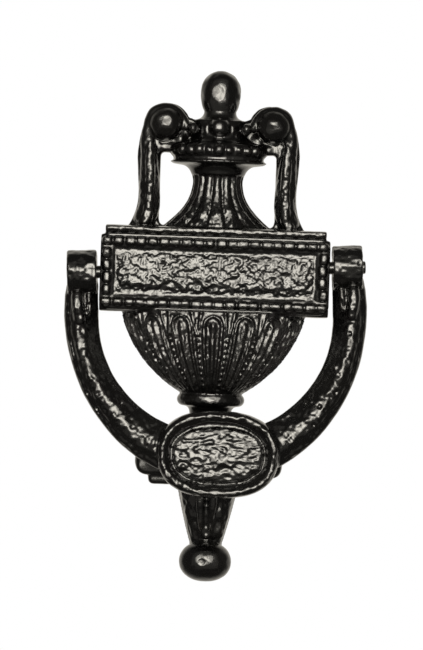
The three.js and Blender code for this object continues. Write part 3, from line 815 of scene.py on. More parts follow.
def foot():
    bead = FOOT_HEIGHT / 2
    rise = foot_bottom - plinth_top
    path = Outline(0.01, plinth_top - 1).line(STALK_RADIUS + 4, plinth_top - 1)
    path.line(STALK_RADIUS + 4, plinth_top)
    path.curve(STALK_RADIUS, plinth_top, STALK_RADIUS, plinth_top + rise * 0.6)
    path.curve(STALK_RADIUS, foot_bottom, FOOT_RADIUS - bead, foot_bottom)
    path.arc(FOOT_RADIUS - bead, foot_bottom + bead, bead, -math.pi / 2, math.pi / 2)
    path.line(FOOT_RADIUS - bead - 0.6, bowl_bottom + 0.4)
    path.arc(FOOT_RADIUS - bead - 0.4, bowl_bottom + 1.2, 1.0, -math.pi / 3, math.pi / 2)
    path.line(0.01, bowl_bottom + 2.4)
    return turned(path.points, 240, step=0.4)


def bowl_core():
    """The hollow behind the bowl, drawn out past the flat back."""
    points, faces = turned(bowl_path(7), 120, axis=0, step=1.0)
    points[:, 1] = np.where(points[:, 1] > -0.01, 3, points[:, 1])
    return points, faces


print(TONGUES, "tongues round the bowl")

# %% [markdown]
# ## Plinth, tail and end ball
#
# The striker lands on a round-ended plinth, with a step under it. The tail below tapers like a
# baluster and ends in a squashed ball. On the real casting the ball has a small flat where the
# pattern's screw was filled. The tail is faceted by a few strokes of a knife and has two soft
# crests in front.

# %% Plinth, tail and end ball
def plinth():
    block = rectangle(PLINTH_WIDTH, plinth_bottom, plinth_top, 5)
    step = rectangle(PLINTH_WIDTH - 10.4, tail_top, plinth_bottom + 3, 2.6)
    return [board(block, PLINTH_DEPTH, 2.8), board(step, PLINTH_DEPTH - 1.7, 2.0)]


def tail():
    rise = tail_top - tail_bottom
    path = Outline(0.01, tail_bottom - 2).line(6.6, tail_bottom - 2).line(6.6, tail_bottom)
    path.curve(8.1, tail_bottom + rise * 0.18, 10.4, tail_bottom + rise * 0.6, 11.6, tail_top - 3.5)
    path.curve(11.8, tail_top, 13.8, tail_top).line(13.8, tail_top + 1).line(0.01, tail_top + 1)

    def knife(angle, radius, height):
        return 0.5 * np.abs(np.sin(angle * 3.5)) ** 3 * blend(radius, 2, 6)

    shells = [turned(path.points, 240, axis=0, carve=knife, step=0.4)]
    for lean in (-2.7, 2.1):
        crest = [(lean, -10.6, tail_top), (lean * 0.95, -9.6, tail_bottom + rise * 0.75),
                 (lean * 0.85, -8.7, tail_bottom + rise * 0.5), (lean * 0.6, -7.0, tail_bottom + 5)]
        shells.append(roll(crest, 2.0, (1, 0.9, 0.5), 20, 0.7))
    return shells


def end_ball():
    radii = (BALL_RADIUS, BALL_RADIUS * 0.86, BALL_HALF_HEIGHT)
    return ball((0, -7, ball_middle), radii, 60, 2.15)


urn_shells = [*name_panel(), hammered_field(), *bead_frame(), cornice(), reeded_neck(),
              lid_and_finial(), *rim_beads(), *lid_boss(), *scroll_handle(-1), *scroll_handle(1),
              bowl(), foot(), *plinth(), *tail(), end_ball()]
print(len(urn_shells), "shells in the back casting")

# %% [markdown]
# ## The sand-cast skin of the urn
#
# The whole skin gets a low, lazy unevenness and a finer one. The field of the panel is hammered
# much more deeply, with dents that run together sideways. Edges that catch the light, such as the
# cornice and the reeds, are nicked along their length. Each patch is found by its place on the
# part, and the points there move along their own normals. The finial and the two eyes each have a
# small flat left by the polishing wheel.

# %% Hammer marks, and moving the skin
def skin(obj, depths):
    mesh = obj.data
    points, normals = points_of(mesh), normals_of(mesh)
    set_points(mesh, points + normals * depths(points, normals)[:, None])


def hammer_marks(points, fine=0.32):
    """Dents that run together sideways, between about -1 and 1."""
    wide = points * (0.62, 1, 1)
    swirl = wide + 1.1 * np.stack([noise(points, 3.1, s) for s in (31, 32, 33)], axis=1)
    ridges = 1 - 2 * np.abs(rough(swirl, 2.6, 34, 2))
    return (0.35 * (1 - 1.6 * dents(swirl, 3.4, 35)) + 0.42 * ridges + 0.6 * rough(points, 1.7, 36, 2)
            + fine * rough(points, 0.95, 38, 1))


def pits(points, size, seed, soft=0.25):
    """1 in the middle of each scattered pit, 0 outside it."""
    return under(dents(points, size, seed), 0.3, soft)


def patched(points, patches):
    """The sum of rough patches, each a mask, a depth, a stretch, a size, a seed and octaves."""
    return sum(mask * deep * rough(points * stretch, size, seed, octaves)
               for mask, deep, stretch, size, seed, octaves in patches)


print("hammer marks ready")

# %% Where each patch of the urn's skin lies
EVEN = (1, 1, 1)
# Middle, reach, and the bend of the ball that the flat is on.
FACETS = [((-1.0, 71.0), 3.1, 12.0), ((-20.5, 59.3), 1.9, 7.0), ((19.6, 57.2), 1.9, 7.0)]
FACET_SHARE = 0.8
BALL_SPOT = (-1.3, 0.3)


def urn_skin(points, normals):
    x, y, z = points.T
    wide, tall, proud = np.abs(x), np.abs(z), -y
    facing = blend(-normals[:, 1], 0.1, 0.6)
    in_field = (under(wide, panel_half - 6.0, 0.9) * under(tall, PANEL_TOP - 6.6, 0.9)
                * over(proud, 13.0, 0.8))
    on_panel = under(tall, PANEL_TOP - 1, 0.6) * under(wide, panel_half + 1, 0.5)
    on_reeds = over(z, neck_bottom, 2) * under(z, neck_top + 1, 3) * under(wide, 20)
    flare = 0.34 + 0.4 * under(z, neck_bottom + 14, 12)
    on_cornice = over(z, PANEL_TOP + 0.6, 0.6) * under(z, neck_bottom + 0.2, 0.5)
    on_bowl = under(z, bowl_top - 1) * over(z, bowl_bottom, 2)
    on_stem = over(wide, 21, 2) * over(z, neck_bottom, 2) * under(z, 56, 8)
    on_bridge = (over(z, lid_bottom + 3, 2) * under(proud, 7.4) * over(wide, DOME_RADIUS - 2, 2)
                 * under(wide, LID_RADIUS + 5.5, 2.5))
    on_foot = over(z, foot_bottom - 2, 2) * under(z, bowl_bottom + 2)
    on_plinth = under(z, plinth_top + 1) * over(z, plinth_bottom - 4, 2)
    on_tail = under(z, tail_top, 2) * over(z, tail_bottom - 1, 3)
    on_ball = under(np.abs(z - ball_middle), 5, 3)
    depth = patched(points, [
        (1, 0.2, EVEN, 8, 1, 3),
        (1, 0.035, EVEN, 2.2, 4, 3),
        (on_reeds * facing * flare, 1, (1, 1, 0.55), 2.0, 7, 3),
        (on_stem * facing, 0.45, (1, 1, 0.6), 3.0, 12, 3),
        (on_stem * facing, 0.2, EVEN, 1.5, 16, 1),
        (on_cornice * facing, 0.3, (0.3, 1, 1), 1.7, 8, 3),
        (on_cornice * facing, 0.12, EVEN, 1.2, 14, 1),
        (on_bowl * facing, 0.3, (1, 1, 0.5), 1.7, 9, 3),
        (on_panel * (1 - in_field) * facing, 0.2, EVEN, 1.9, 10, 3),
        (over(z, lid_bottom, 3), 0.2, EVEN, 2.5, 15, 1),
        (on_bridge * facing, 0.8, EVEN, 3.8, 17, 1),
        (on_foot * facing, 0.3, EVEN, 2.4, 18, 2),
        (on_plinth, 0.3, EVEN, 3.2, 19, 1),
        (on_tail * facing, 0.75, (1, 1, 0.75), 2.8, 13, 2),
        (on_ball, 0.13, EVEN, 2.2, 20, 1),
    ])
    depth += in_field * (0.52 * hammer_marks(points) - 0.1)
    depth -= on_bowl * facing * 0.25 * pits(points, 3.6, 23)
    spot = np.hypot(x - BALL_SPOT[0], z - ball_middle - BALL_SPOT[1])
    depth -= 0.22 * under(spot, 1.7) * over(proud, 12)
    for place, reach, bend in FACETS:
        away = np.hypot((x - place[0]) * 1.2, z - place[1])
        depth -= facing * FACET_SHARE * (reach ** 2 - away ** 2).clip(0) / (2 * bend)
    return depth * over(proud, 0.4, 1.6)


print("urn skin has", len(FACETS), "flats")

# %% [markdown]
# ## Holes, and the hinge line
#
# The pins' holes and the studs' holes are drilled after casting, so they are cut clean through the
# rough skin. The left knuckle of the real knocker sits a little higher than the right one, so the
# hinge line isn't level. Its place and its slope are read from the frame's joint.

# %% Hinge line and drills
hinge = frame["joints"][0]
hinge_place = np.array(hinge["pos_m"]) / MM
hinge_turn = math.asin(hinge["axis"][2] / np.linalg.norm(hinge["axis"]) * -np.sign(hinge["axis"][0]))
print("hinge at", hinge_place.round(2), "skew", round(math.degrees(hinge_turn), 2))


def at_hinge(points):
    """From the bail's own frame, level on its pins, to its place on the part."""
    turn = np.array(Matrix.Rotation(hinge_turn, 3, "Y"))
    return np.asarray(points, float) @ turn.T + hinge_place


PIN_RADIUS = 2.5
PIN_FIT = 0.25
BORE_RADIUS = 3.25
STUD_HOLE_DEPTH = 8.5


def spun_sideways(path, side, columns):
    """A shell turned about the pins' line, from (radius, x) points, on one side of the part."""
    angle = np.linspace(0, 2 * np.pi, columns, endpoint=False)
    return lofted([[(side * x, r * math.cos(a), r * math.sin(a)) for a in angle] for r, x in path])


def pin_hole(start, end, side):
    radius = PIN_RADIUS + PIN_FIT
    points, faces = spun_sideways([(radius, start), (radius, end)], side, 48)
    return at_hinge(points), faces


def stud_hole(height):
    angle = np.linspace(0, 2 * np.pi, 40, endpoint=False)
    circle = np.stack([np.cos(angle), 0 * angle, np.sin(angle)], axis=1) * BORE_RADIUS
    return lofted([circle + (0, y, height) for y in (-STUD_HOLE_DEPTH, 5)])


stud_heights = [sum(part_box(f"fixing_stud_{end}")[i][2] for i in (0, 1)) / 2 / MM
                for end in ("upper", "lower")]
print("studs at heights", [round(height, 1) for height in stud_heights])

# %% Fuse the back casting, roughen it and drill it
urn = fused("urn_casting", urn_shells)
skin(urn, urn_skin)
cut_away(urn, [bowl_core()] + [stud_hole(height) for height in stud_heights]
         + [pin_hole(panel_half - 18.5, panel_half + 9, side) for side in (-1, 1)])
finish_casting(urn, (plate_low, plate_high))
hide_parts("urn_plate")
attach(urn, "plate")

# %% [markdown]
# ## The bail
#
# The bail is lofted. One cross-section, with a rounded outer edge, a proud gnarled ridge and a
# long slope inside, is carried round from knuckle to knuckle between two half ellipses, an outer
# and an inner one. That is why the arms are narrow above and swell into the bow. The ridge is
# then overlaid with tapering strands, like twisted roots, each a short roll that follows the arm.

# %% Sizes and section of the bail
KNUCKLE_RADIUS = 8.7
KNUCKLE_LENGTH = 11.6
INNER_HALF = panel_half + 1.3
ARM_WIDTH = 13.1
ARM_THICK = 12.5
ARM_THINS = 5
ARM_BACK = 6.8
STRIKER_HEIGHT = 3.2
REST_GAP = 0.3
OVAL_HALF = (23.7, 17)
OVAL_THICK = 10.5
OVAL_RIM = 5.6
OUTER_START, OUTER_BELOW = 15, 10.9
INNER_START, INNER_ABOVE = 19, 7.6
ARM_CLEARANCE = 3.1
hinge_drop = hinge_place[2] - (plinth_top + plinth_bottom) / 2
arm_lean = (PLINTH_DEPTH + ARM_CLEARANCE + hinge_place[1] + ARM_BACK) / hinge_drop
outer_drop = hinge_drop + OUTER_BELOW - OUTER_START
inner_drop = hinge_drop - INNER_ABOVE - INNER_START
SECTION = [(0.06, 0), (0, 0.12), (0, 0.38), (0.05, 0.5), (0.1, 0.55), (0.16, 0.58), (0.25, 0.7),
           (0.34, 0.77), (0.46, 0.79), (0.6, 0.74), (0.77, 0.56), (1, 0.28), (1, 0.1), (0.94, 0)]
section = smooth_line([(a, u, 0) for a, u in SECTION + SECTION[:1]], 0.05)[:-1, :2]


def arm_edges(turn):
    """The outer and inner edge of the bail, from 0 at one knuckle to 1 at the other."""
    angle = math.pi * turn
    outer = (-(INNER_HALF + ARM_WIDTH) * math.cos(angle), -OUTER_START - outer_drop * math.sin(angle))
    inner = (-INNER_HALF * math.cos(angle), -INNER_START - inner_drop * math.sin(angle))
    return np.array(outer), np.array(inner)


def on_arm(outer, inner, across, up):
    x, z = outer + (inner - outer) * across
    height = (outer[1] + inner[1]) / 2
    share = height / (hinge_drop + OUTER_BELOW)
    thick = ARM_THICK - ARM_THINS * share * share
    return x, ARM_BACK + arm_lean * height - thick * up, z


def arms():
    rings = []
    for side, heights in ((-1, (-2, -5, -9, -13)), (1, (-13, -9, -5, -2))):
        if side == 1:
            rings += [[on_arm(*arm_edges(t), a, u) for a, u in section]
                      for t in np.linspace(0, 1, 260)]
        for z in heights:
            bulge = float(np.interp(z, (-13, -9, -5, -2), (-0.1, -0.3, -1.0, -2.0)))
            outer = np.array((side * (INNER_HALF + ARM_WIDTH + bulge), z))
            inner = np.array((side * INNER_HALF, z))
            rings.append([on_arm(outer, inner, a, u) for a, u in section])
    return lofted(rings)


print("bail section has", len(section), "points, arm lean", round(arm_lean, 3))

# %% [markdown]
# ## Strands, knuckles and the oval
#
# Below each knuckle sits a raised lobe with two crests. From there the strands run down the arm:
# their starts, ends, widths and places across the ridge are drawn by a seeded hand, so that they
# overlap unevenly. The oval at the bottom is a dish with a rounded rim of even width, and its field
# is hammered like the panel's.

# %% Strands and lobes
STRANDS = 13
STRAND_LIFT = 0.9
twist = np.random.default_rng(5)


def strand(start, end, across, drift, radius):
    line = []
    for t in np.linspace(start, end, 7):
        place = across + drift * math.sin((t - start) / (end - start) * math.pi)
        outer, inner = arm_edges(t)
        lift = STRAND_LIFT - 0.08 * (radius - 1) - 1.1 * abs(place - 0.48)
        line.append(on_arm(outer, inner, place, lift))
    return roll(line, radius, (0.8, 0.3), 20, 0.5)


def strands(mirror):
    shells = []
    for k in range(STRANDS):
        start = 0.055 + 0.028 * k + 0.006 * twist.uniform(-1, 1)
        end = start + 0.032 + 0.025 * twist.uniform(0, 1)
        across = 0.45 + 0.07 * (k % 3 - 1) + 0.03 * twist.uniform(-1, 1)
        drift = 0.05 * twist.uniform(-1, 1)
        radius = 3.7 + 0.5 * twist.uniform(-1, 1)
        span = (start, end) if mirror < 0 else (1 - start, 1 - end)
        shells.append(strand(*span, across, drift, radius))
    return shells


def lobe(side):
    """The swelling under a knuckle, with two crests of its own."""
    def spot(across, z, depth):
        return side * (INNER_HALF + ARM_WIDTH * (1 - across)), depth, z

    wide = roll([spot(0.42, -7, -4.2), spot(0.4, -12, -5.6), spot(0.45, -17, -5.4),
                 spot(0.5, -21, -4.6)], 3.1, (0.8, 0.7), 20)
    thin = roll([spot(0.76, -7.5, -2.8), spot(0.74, -12, -3.9), spot(0.72, -17, -3.8)],
                1.6, (0.9, 0.6), 14)
    return [wide, thin]


print(STRANDS, "strands and a lobe on each side")

# %% Knuckles, oval and striker
SOFT_EDGE = 0.7
STRIKER_RADIUS = 6.5
back_depth = -hinge_place[1] - PLINTH_DEPTH - REST_GAP - STRIKER_HEIGHT


def knuckle(side):
    near, far = INNER_HALF, INNER_HALF + KNUCKLE_LENGTH
    profile = Outline(0.01, near).line(KNUCKLE_RADIUS - SOFT_EDGE, near)
    profile.curve(KNUCKLE_RADIUS, near, KNUCKLE_RADIUS, near + SOFT_EDGE)
    profile.line(KNUCKLE_RADIUS, far - SOFT_EDGE)
    profile.curve(KNUCKLE_RADIUS, far, KNUCKLE_RADIUS - SOFT_EDGE, far).line(0.01, far)
    return spun_sideways(evenly(profile.points, 0.5), side, 90)


def oval_ring(inset, depth):
    angle = np.linspace(0, 2 * np.pi, 150, endpoint=False)
    squared = [np.sign(f(angle)) * np.abs(f(angle)) ** (2 / 2.4) for f in (np.cos, np.sin)]
    x, z = (s * (half - inset) for s, half in zip(squared, OVAL_HALF))
    return np.stack([x, 0 * x + depth, z], axis=1)


def levelled(shell):
    """Turned back against the hinge's skew, so that the oval hangs level over the plinth."""
    points, faces = shell
    turn = np.array(Matrix.Rotation(-hinge_turn, 3, "Y"))
    return points @ turn.T + (0, 0, -hinge_drop), faces


def oval():
    front = back_depth - OVAL_THICK
    profile = Outline(3, back_depth).line(0.6, back_depth - 1).line(0, back_depth - 3.5)
    profile.line(0.2, front + 3.4).curve(0.3, front + 0.9, 1.7, front + 0.1)
    profile.curve(2.9, front - 0.15, 3.7, front + 0.9).line(OVAL_RIM, front + 3.0)
    profile.line(OVAL_RIM + 1.2, front + 1.9).line(OVAL_HALF[1] * 0.8, front + 1.3)
    return lofted([oval_ring(inset, depth) for inset, depth in evenly(profile.points, 0.45)])


def striker(bevel=0.6):
    angle = np.linspace(0, 2 * np.pi, 60, endpoint=False)
    root, face = back_depth - 3, back_depth + STRIKER_HEIGHT
    profile = [(0.1, root), (STRIKER_RADIUS, root), (STRIKER_RADIUS, face - bevel),
               (STRIKER_RADIUS - bevel, face), (0.1, face)]
    return lofted([[(r * math.cos(a), y, r * math.sin(a)) for a in angle] for r, y in profile])


bail_shells = [arms(), *strands(-1), *strands(1), *lobe(-1), *lobe(1), knuckle(-1), knuckle(1),
               levelled(oval()), levelled(striker())]
bail_shells = [(at_hinge(points), faces) for points, faces in bail_shells]
print(len(bail_shells), "shells in the bail")

# %% [markdown]
# ## The sand-cast skin of the bail
#
# The crest of the arms is the roughest part of the knocker: gnarled, and pitted where sand broke
# away. The oval's field is hammered more softly than the panel's, and falls back towards its top,
# so it goes dark there. Its rim is only a little uneven, and the knuckles are lumpy.

# %% Fuse the bail and roughen it
OVAL_FALL = 0.0075
oval_middle = at_hinge(np.array([[0, 0, -hinge_drop]]))[0]


def bail_skin(points, normals):
    turn = np.array(Matrix.Rotation(hinge_turn, 3, "Y"))
    x, _, z = ((points - hinge_place) @ turn).T
    across, height = points[:, 0] - oval_middle[0], points[:, 2] - oval_middle[2]
    facing = blend(-normals[:, 1], 0.0, 0.5)
    inside = np.hypot(across / (OVAL_HALF[0] - 5.4), height / (OVAL_HALF[1] - 5.0))
    in_oval = under(inside, 1.08, 0.08)
    on_rim = over(inside, 1.06, 0.06) * under(inside, 1.42, 0.08)
    on_knuckle = over(z, -8.5, 2.5)
    on_arms = over(-z, 9, 3) * over(np.hypot(x / 27, (z + hinge_drop) / 19), 0.97, 0.05)
    on_crest = on_arms * blend(-normals[:, 1], 0.6, 0.88)
    depth = patched(points, [
        (0.18 + 0.25 * on_knuckle, 1, EVEN, 6, 21, 3),
        (1, 0.05, EVEN, 2, 24, 3),
        (on_rim * facing, 0.55, EVEN, 2.6, 28, 2),
        (on_crest, 0.5, EVEN, 3.4, 25, 2),
        (on_crest, 0.25, EVEN, 1.5, 27, 1),
        (on_knuckle * facing, 0.42, EVEN, 2.6, 29, 2),
    ])
    fall = OVAL_FALL * (height + 2).clip(0) ** 2
    depth += in_oval * facing * (0.6 * hammer_marks(points * (0.7, 1, 1), 0.08) - 0.1 - fall)
    depth -= on_crest * 0.45 * pits(points, 4.2, 31)
    depth -= on_knuckle * facing * 0.2 * pits(points, 5, 30, 0.2)
    return depth


bail = fused("bail_casting", bail_shells)
skin(bail, bail_skin)
cut_away(bail, [pin_hole(INNER_HALF - 5, INNER_HALF + KNUCKLE_LENGTH + 5, side) for side in (-1, 1)])
finish_casting(bail, (bail_low, bail_high))
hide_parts("knocker_bail")
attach(bail, "bail")

# %% [markdown]
# ## Black enamel on cast iron
#
# Stoving enamel on a rough casting is nearly black, very glossy where it pooled and thin on the
# crests, where it wears to a duller brown-grey. So three things vary over it: the colour follows how
# proud the skin stands, the roughness drifts in patches, and two sizes of bump add the orange
# peel of the paint and the grain of the sand that is too fine for the mesh.

# %% Helpers for materials
def new_material(name):
    material = bpy.data.materials.new(name)
    material.use_nodes = True
    return material, material.node_tree.nodes, material.node_tree.links


def noise_node(nodes, links, place, scale, detail=4.0, roughness=0.55):
    node = nodes.new("ShaderNodeTexNoise")
    node.inputs["Scale"].default_value = scale
    node.inputs["Detail"].default_value = detail
    node.inputs["Roughness"].default_value = roughness
    links.new(place, node.inputs["Vector"])
    return node


def ramp(nodes, links, value, stops):
    node = nodes.new("ShaderNodeValToRGB")
    links.new(value, node.inputs[0])
    while len(node.color_ramp.elements) < len(stops):
        node.color_ramp.elements.new(0.5)
    for element, (place, colour) in zip(node.color_ramp.elements, stops):
        element.position = place
        element.color = (*colour, 1) if isinstance(colour, tuple) else (colour, colour, colour, 1)
    return node


def stacked_bump(nodes, links, heights):
    """Bumps one over the other, each a height, a strength and a depth in millimetres."""
    previous = None
    for height, strength, depth in heights:
        bump = nodes.new("ShaderNodeBump")
        bump.inputs["Strength"].default_value = strength
        bump.inputs["Distance"].default_value = depth * MM
        links.new(height, bump.inputs["Height"])
        if previous:
            links.new(previous.outputs[0], bump.inputs["Normal"])
        previous = bump
    return previous.outputs[0]


def give(pieces, material):
    for piece in pieces:
        piece.data.materials.clear()
        piece.data.materials.append(material)
    print(material.name, "on", [piece.name for piece in pieces])


print("material helpers ready")


# %% The enamel's nodes
def black_enamel():
    material, nodes, links = new_material("black_enamel")
    shader = nodes["Principled BSDF"]
    place = nodes.new("ShaderNodeTexCoord").outputs["Object"]
    proud = nodes.new("ShaderNodeAttribute")
    proud.attribute_name = "proud"
    patches = noise_node(nodes, links, place, 55, 3)
    peel = noise_node(nodes, links, place, 520, 2, 0.5)
    grain = noise_node(nodes, links, place, 1500, 3, 0.6)
    tint = ramp(nodes, links, patches.outputs[0], [
        (0.3, (0.0010, 0.0010, 0.0012)), (0.55, (0.0018, 0.0016, 0.0016)),
        (0.8, (0.0030, 0.0026, 0.0022))])
    worn = ramp(nodes, links, proud.outputs["Fac"], [(0.35, 0.0), (1.0, 1.0)])
    colour = nodes.new("ShaderNodeMix")
    colour.data_type = "RGBA"
    links.new(worn.outputs[0], colour.inputs["Factor"])
    links.new(tint.outputs[0], colour.inputs["A"])
    colour.inputs["B"].default_value = (0.009, 0.0075, 0.006, 1)
    links.new(colour.outputs["Result"], shader.inputs["Base Color"])
    gloss = ramp(nodes, links, patches.outputs[0], [(0.25, 0.16), (0.5, 0.22), (0.75, 0.32)])
    links.new(gloss.outputs[0], shader.inputs["Roughness"])
    normal = stacked_bump(nodes, links, [(peel.outputs[0], 0.3, 0.2), (grain.outputs[0], 0.3, 0.08)])
    links.new(normal, shader.inputs["Normal"])
    links.new(normal, shader.inputs["Coat Normal"])
    shader.inputs["IOR"].default_value = 1.5
    shader.inputs["Coat Weight"].default_value = 1.0
    shader.inputs["Coat Roughness"].default_value = 0.1
    return material


enamel = black_enamel()
give((urn, bail), enamel)

# %% [markdown]
# ## Pins, studs, washers and nuts
#
# The castings are held by four kinds of small steel part. Two pins are driven into the ends of the
# panel and painted with it. Two threaded studs go through the door, and behind it each has a
# washer and a domed nut, all plated with zinc. They are all shapes of revolution, so one helper
# spins a list of radii. Threads and hexagons come from letting the radius depend on the angle.

# %% Spinning helpers for steel parts
EDGE_ANGLE = 35


def spun(path, height, columns=48, shape=None):
    """A solid turned about a line through the door, from (radius, depth) points."""
    angle = np.linspace(0, 2 * np.pi, columns, endpoint=False)
    rings = []
    for radius, depth in path:
        reach = shape(angle, radius, depth) if shape else radius + 0 * angle
        rings.append(np.stack([reach * np.cos(angle), 0 * angle + depth,
                               reach * np.sin(angle) + height], axis=1))
    return lofted(rings)


def closed_ring(loop, height, columns=72):
    """A ring turned from a closed loop of (radius, depth) points, with a hole in the middle."""
    points, faces = spun(loop + loop[:1], height, columns)
    count = len(loop) * columns
    return points[:count], [[corner % count for corner in face] for face in faces[:-2]]


def steel_part(name, shell, node):
    obj = new_object(name, mesh_of([shell]))
    turn_outwards(obj.data)
    obj.data.transform(Matrix.Scale(MM, 4))
    obj.data.shade_smooth()
    obj.data.set_sharp_from_angle(angle=math.radians(EDGE_ANGLE))
    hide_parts(node)
    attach(obj, "plate")
    return obj


print("edges sharper than", EDGE_ANGLE, "degrees stay crisp")

# %% [markdown]
# ## Pivot pins
#
# Each pin is a plain turned rod with its nose softened by the hammer that drove it in, and a small
# centre mark. It follows the skewed hinge line. The right pin stands prouder than the left one.

# %% Pivot pins
PIN_BITE = 18
PIN_PROUD = {"left": 0.3, "right": 1.3}


def pivot_pin(side, proud):
    start = panel_half - PIN_BITE
    tip = INNER_HALF + KNUCKLE_LENGTH + proud
    path = [(0.01, start), (1.95, start), (2.46, start + 0.6)]
    path += [(PIN_RADIUS - 0.01, x) for x in np.linspace(start + 1, tip - 0.7, 80)]
    path += [(2.4, tip - 0.3), (2.2, tip - 0.12), (1.8, tip - 0.02), (0.7, tip - 0.02),
             (0.35, tip - 0.2), (0.01, tip - 0.28)]
    points, faces = spun_sideways(path, side, 48)
    return at_hinge(points), faces


pins = []
for side, end in ((-1, "left"), (1, "right")):
    pins.append(steel_part(f"painted_pin_{end}", pivot_pin(side, PIN_PROUD[end]),
                           f"pivot_pin_{end}"))
give(pins, enamel)
print("pins stand proud by", PIN_PROUD)

# %% [markdown]
# ## Studs, washers and domed nuts
#
# The thread of the real stud is one groove that climbs a pitch each turn. Here the radius of the
# spun rod depends on the angle and the depth together, which gives that helix as real shape. A
# hexagon is the same trick: the radius never goes past the flats. A washer's burr side is flatter
# than its rolled-over side.

# %% Sizes of the fixings
STUD_RADIUS = 3
THREAD_PITCH = 1.0
THREAD_DEPTH = 0.55
NUT_FLATS = 10
NUT_HEIGHT = 5.5
CHAMFER = 0.5


def box_mm(node):
    low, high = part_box(node)
    return np.array(low) / MM, np.array(high) / MM


def threaded_stud(node, height):
    low, high = box_mm(node)
    start, tip = low[1] + 0.01, high[1] - 0.01

    def thread(angle, radius, depth):
        phase = (depth / THREAD_PITCH + angle / (2 * np.pi)) % 1
        groove = np.clip(1.15 * (1 - np.abs(2 * phase - 1)) - 0.1, 0, 1)
        taper = max(0, CHAMFER - min(depth - start, tip - depth))
        return np.maximum(radius - THREAD_DEPTH * groove - taper, 0.01)

    depths = np.linspace(start, tip, round((tip - start) / 0.13))
    path = [(STUD_RADIUS - 0.01, depth) for depth in depths]
    return spun(path, height, 36, thread)


print("thread", THREAD_PITCH, "mm pitch, nuts", NUT_FLATS, "mm across flats")


# %% Washer and domed nut
def washer(node, height):
    low, high = box_mm(node)
    outer = (high[0] - low[0]) / 2 - 0.01
    near, far = low[1] + 0.01, high[1] - 0.01
    loop = [(BORE_RADIUS + 0.15, near), (outer - 0.12, near), (outer, near + 0.12),
            (outer, far - 0.35), (outer - 0.15, far - 0.1), (outer - 0.4, far),
            (BORE_RADIUS + 0.25, far), (BORE_RADIUS, far - 0.25), (BORE_RADIUS, near + 0.15)]
    return closed_ring(loop, height)


def domed_nut(node, height, stud_tip):
    low, high = box_mm(node)
    start, top = low[1] + 0.01, high[1] - 0.01
    turn = 0 if high[0] - low[0] > high[2] - low[2] else math.pi / 6

    def hexagon(angle, radius, depth):
        flat = (angle + turn) % (math.pi / 3) - math.pi / 6
        return np.minimum(radius, (NUT_FLATS / 2 - 0.01) / np.cos(flat))

    shoulder = start + NUT_HEIGHT
    path = [(0.01, stud_tip + 0.6), (BORE_RADIUS, stud_tip + 0.3), (BORE_RADIUS, start + 0.6),
            (BORE_RADIUS + 0.6, start), (5.15, start), (5.45, start + 0.15), (5.8, start + 0.5)]
    path += [(5.8, depth) for depth in np.linspace(start + 0.6, shoulder - 0.5, 10)]
    path += [(5.45, shoulder - 0.15), (5.15, shoulder - 0.02), (4.65, shoulder)]
    path += [(4.6 * math.cos(t), shoulder + 0.05 + (top - shoulder - 0.05) * math.sin(t))
             for t in np.linspace(0.03, math.pi / 2 - 0.003, 26)]
    return spun(path, height, 96, hexagon)


# %% Make the fixings
fixings = []
for height, end in zip(stud_heights, ("upper", "lower")):
    tip = box_mm(f"fixing_stud_{end}")[1][1]
    for name, node, shell in (
            ("threaded_stud", f"fixing_stud_{end}", threaded_stud(f"fixing_stud_{end}", height)),
            ("plain_washer", f"stud_washer_{end}", washer(f"stud_washer_{end}", height)),
            ("acorn_nut", f"dome_nut_{end}", domed_nut(f"dome_nut_{end}", height, tip))):
        fixings.append(steel_part(f"{name}_{end}", shell, node))
print("fixings:", [f"{o.name} {len(o.data.vertices)}" for o in fixings])

# %% [markdown]
# ## Zinc plating
#
# Bright zinc is a soft blue-white with a thin yellow haze where the passivation pooled. It is
# satin rather than mirror-like, because the plating grows as fine crystals over the tool marks.

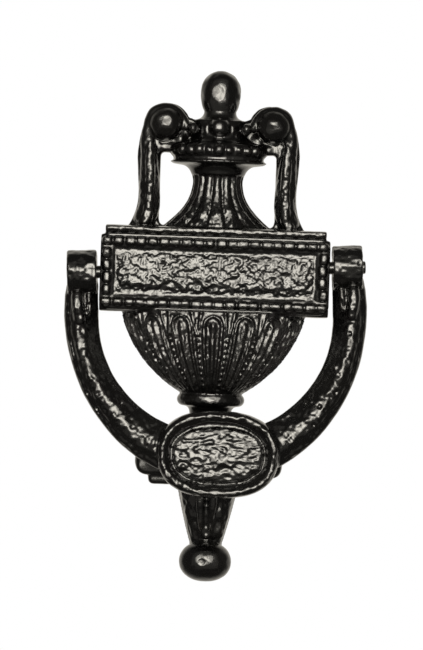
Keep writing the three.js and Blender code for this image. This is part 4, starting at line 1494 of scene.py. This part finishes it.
# %% Zinc plate
def zinc_plate():
    material, nodes, links = new_material("zinc_plate")
    shader = nodes["Principled BSDF"]
    place = nodes.new("ShaderNodeTexCoord").outputs["Object"]
    haze = noise_node(nodes, links, place, 180, 4)
    crystals = nodes.new("ShaderNodeTexVoronoi")
    crystals.inputs["Scale"].default_value = 1400
    links.new(place, crystals.inputs["Vector"])
    grain = noise_node(nodes, links, place, 2600, 3, 0.6)
    tint = ramp(nodes, links, haze.outputs[0], [
        (0.3, (0.50, 0.53, 0.57)), (0.55, (0.60, 0.61, 0.62)), (0.78, (0.58, 0.55, 0.46))])
    links.new(tint.outputs[0], shader.inputs["Base Color"])
    satin = ramp(nodes, links, haze.outputs[0], [(0.25, 0.26), (0.5, 0.34), (0.8, 0.5)])
    links.new(satin.outputs[0], shader.inputs["Roughness"])
    normal = stacked_bump(nodes, links, [(crystals.outputs["Distance"], 0.25, 0.04),
                                         (grain.outputs[0], 0.2, 0.03)])
    links.new(normal, shader.inputs["Normal"])
    shader.inputs["Metallic"].default_value = 1.0
    return material


give(fixings, zinc_plate())

# %% [markdown]
# ## The floor
#
# The knocker hangs on a door, so it doesn't touch the floor. A pale round floor lies a hand's
# width below it, out of the way of the straight view.

# %% Floor
FLOOR_TOP = -0.205
FLOOR_BOTTOM = -0.209
FLOOR_RADIUS = 0.42


def pale_floor():
    angle = np.linspace(0, 2 * np.pi, 96, endpoint=False)
    edge = ((0.01, FLOOR_TOP), (FLOOR_RADIUS, FLOOR_TOP), (FLOOR_RADIUS, FLOOR_BOTTOM),
            (0.01, FLOOR_BOTTOM))
    points, faces = lofted([[(r * math.cos(a), r * math.sin(a), z) for a in angle] for r, z in edge])
    mesh = bpy.data.meshes.new("floor")
    mesh.from_pydata(points, [], faces)
    floor = new_object("pale_floor", mesh)
    material, nodes, links = new_material("pale_plaster")
    place = nodes.new("ShaderNodeTexCoord").outputs["Object"]
    cloud = noise_node(nodes, links, place, 6, 3)
    tone = ramp(nodes, links, cloud.outputs[0], [
        (0.3, (0.82, 0.815, 0.80)), (0.7, (0.87, 0.865, 0.855))])
    links.new(tone.outputs[0], nodes["Principled BSDF"].inputs["Base Color"])
    nodes["Principled BSDF"].inputs["Roughness"].default_value = 0.7
    mesh.materials.append(material)
    floor.visible_glossy = False
    print("floor", 2 * FLOOR_RADIUS, "m wide")


pale_floor()
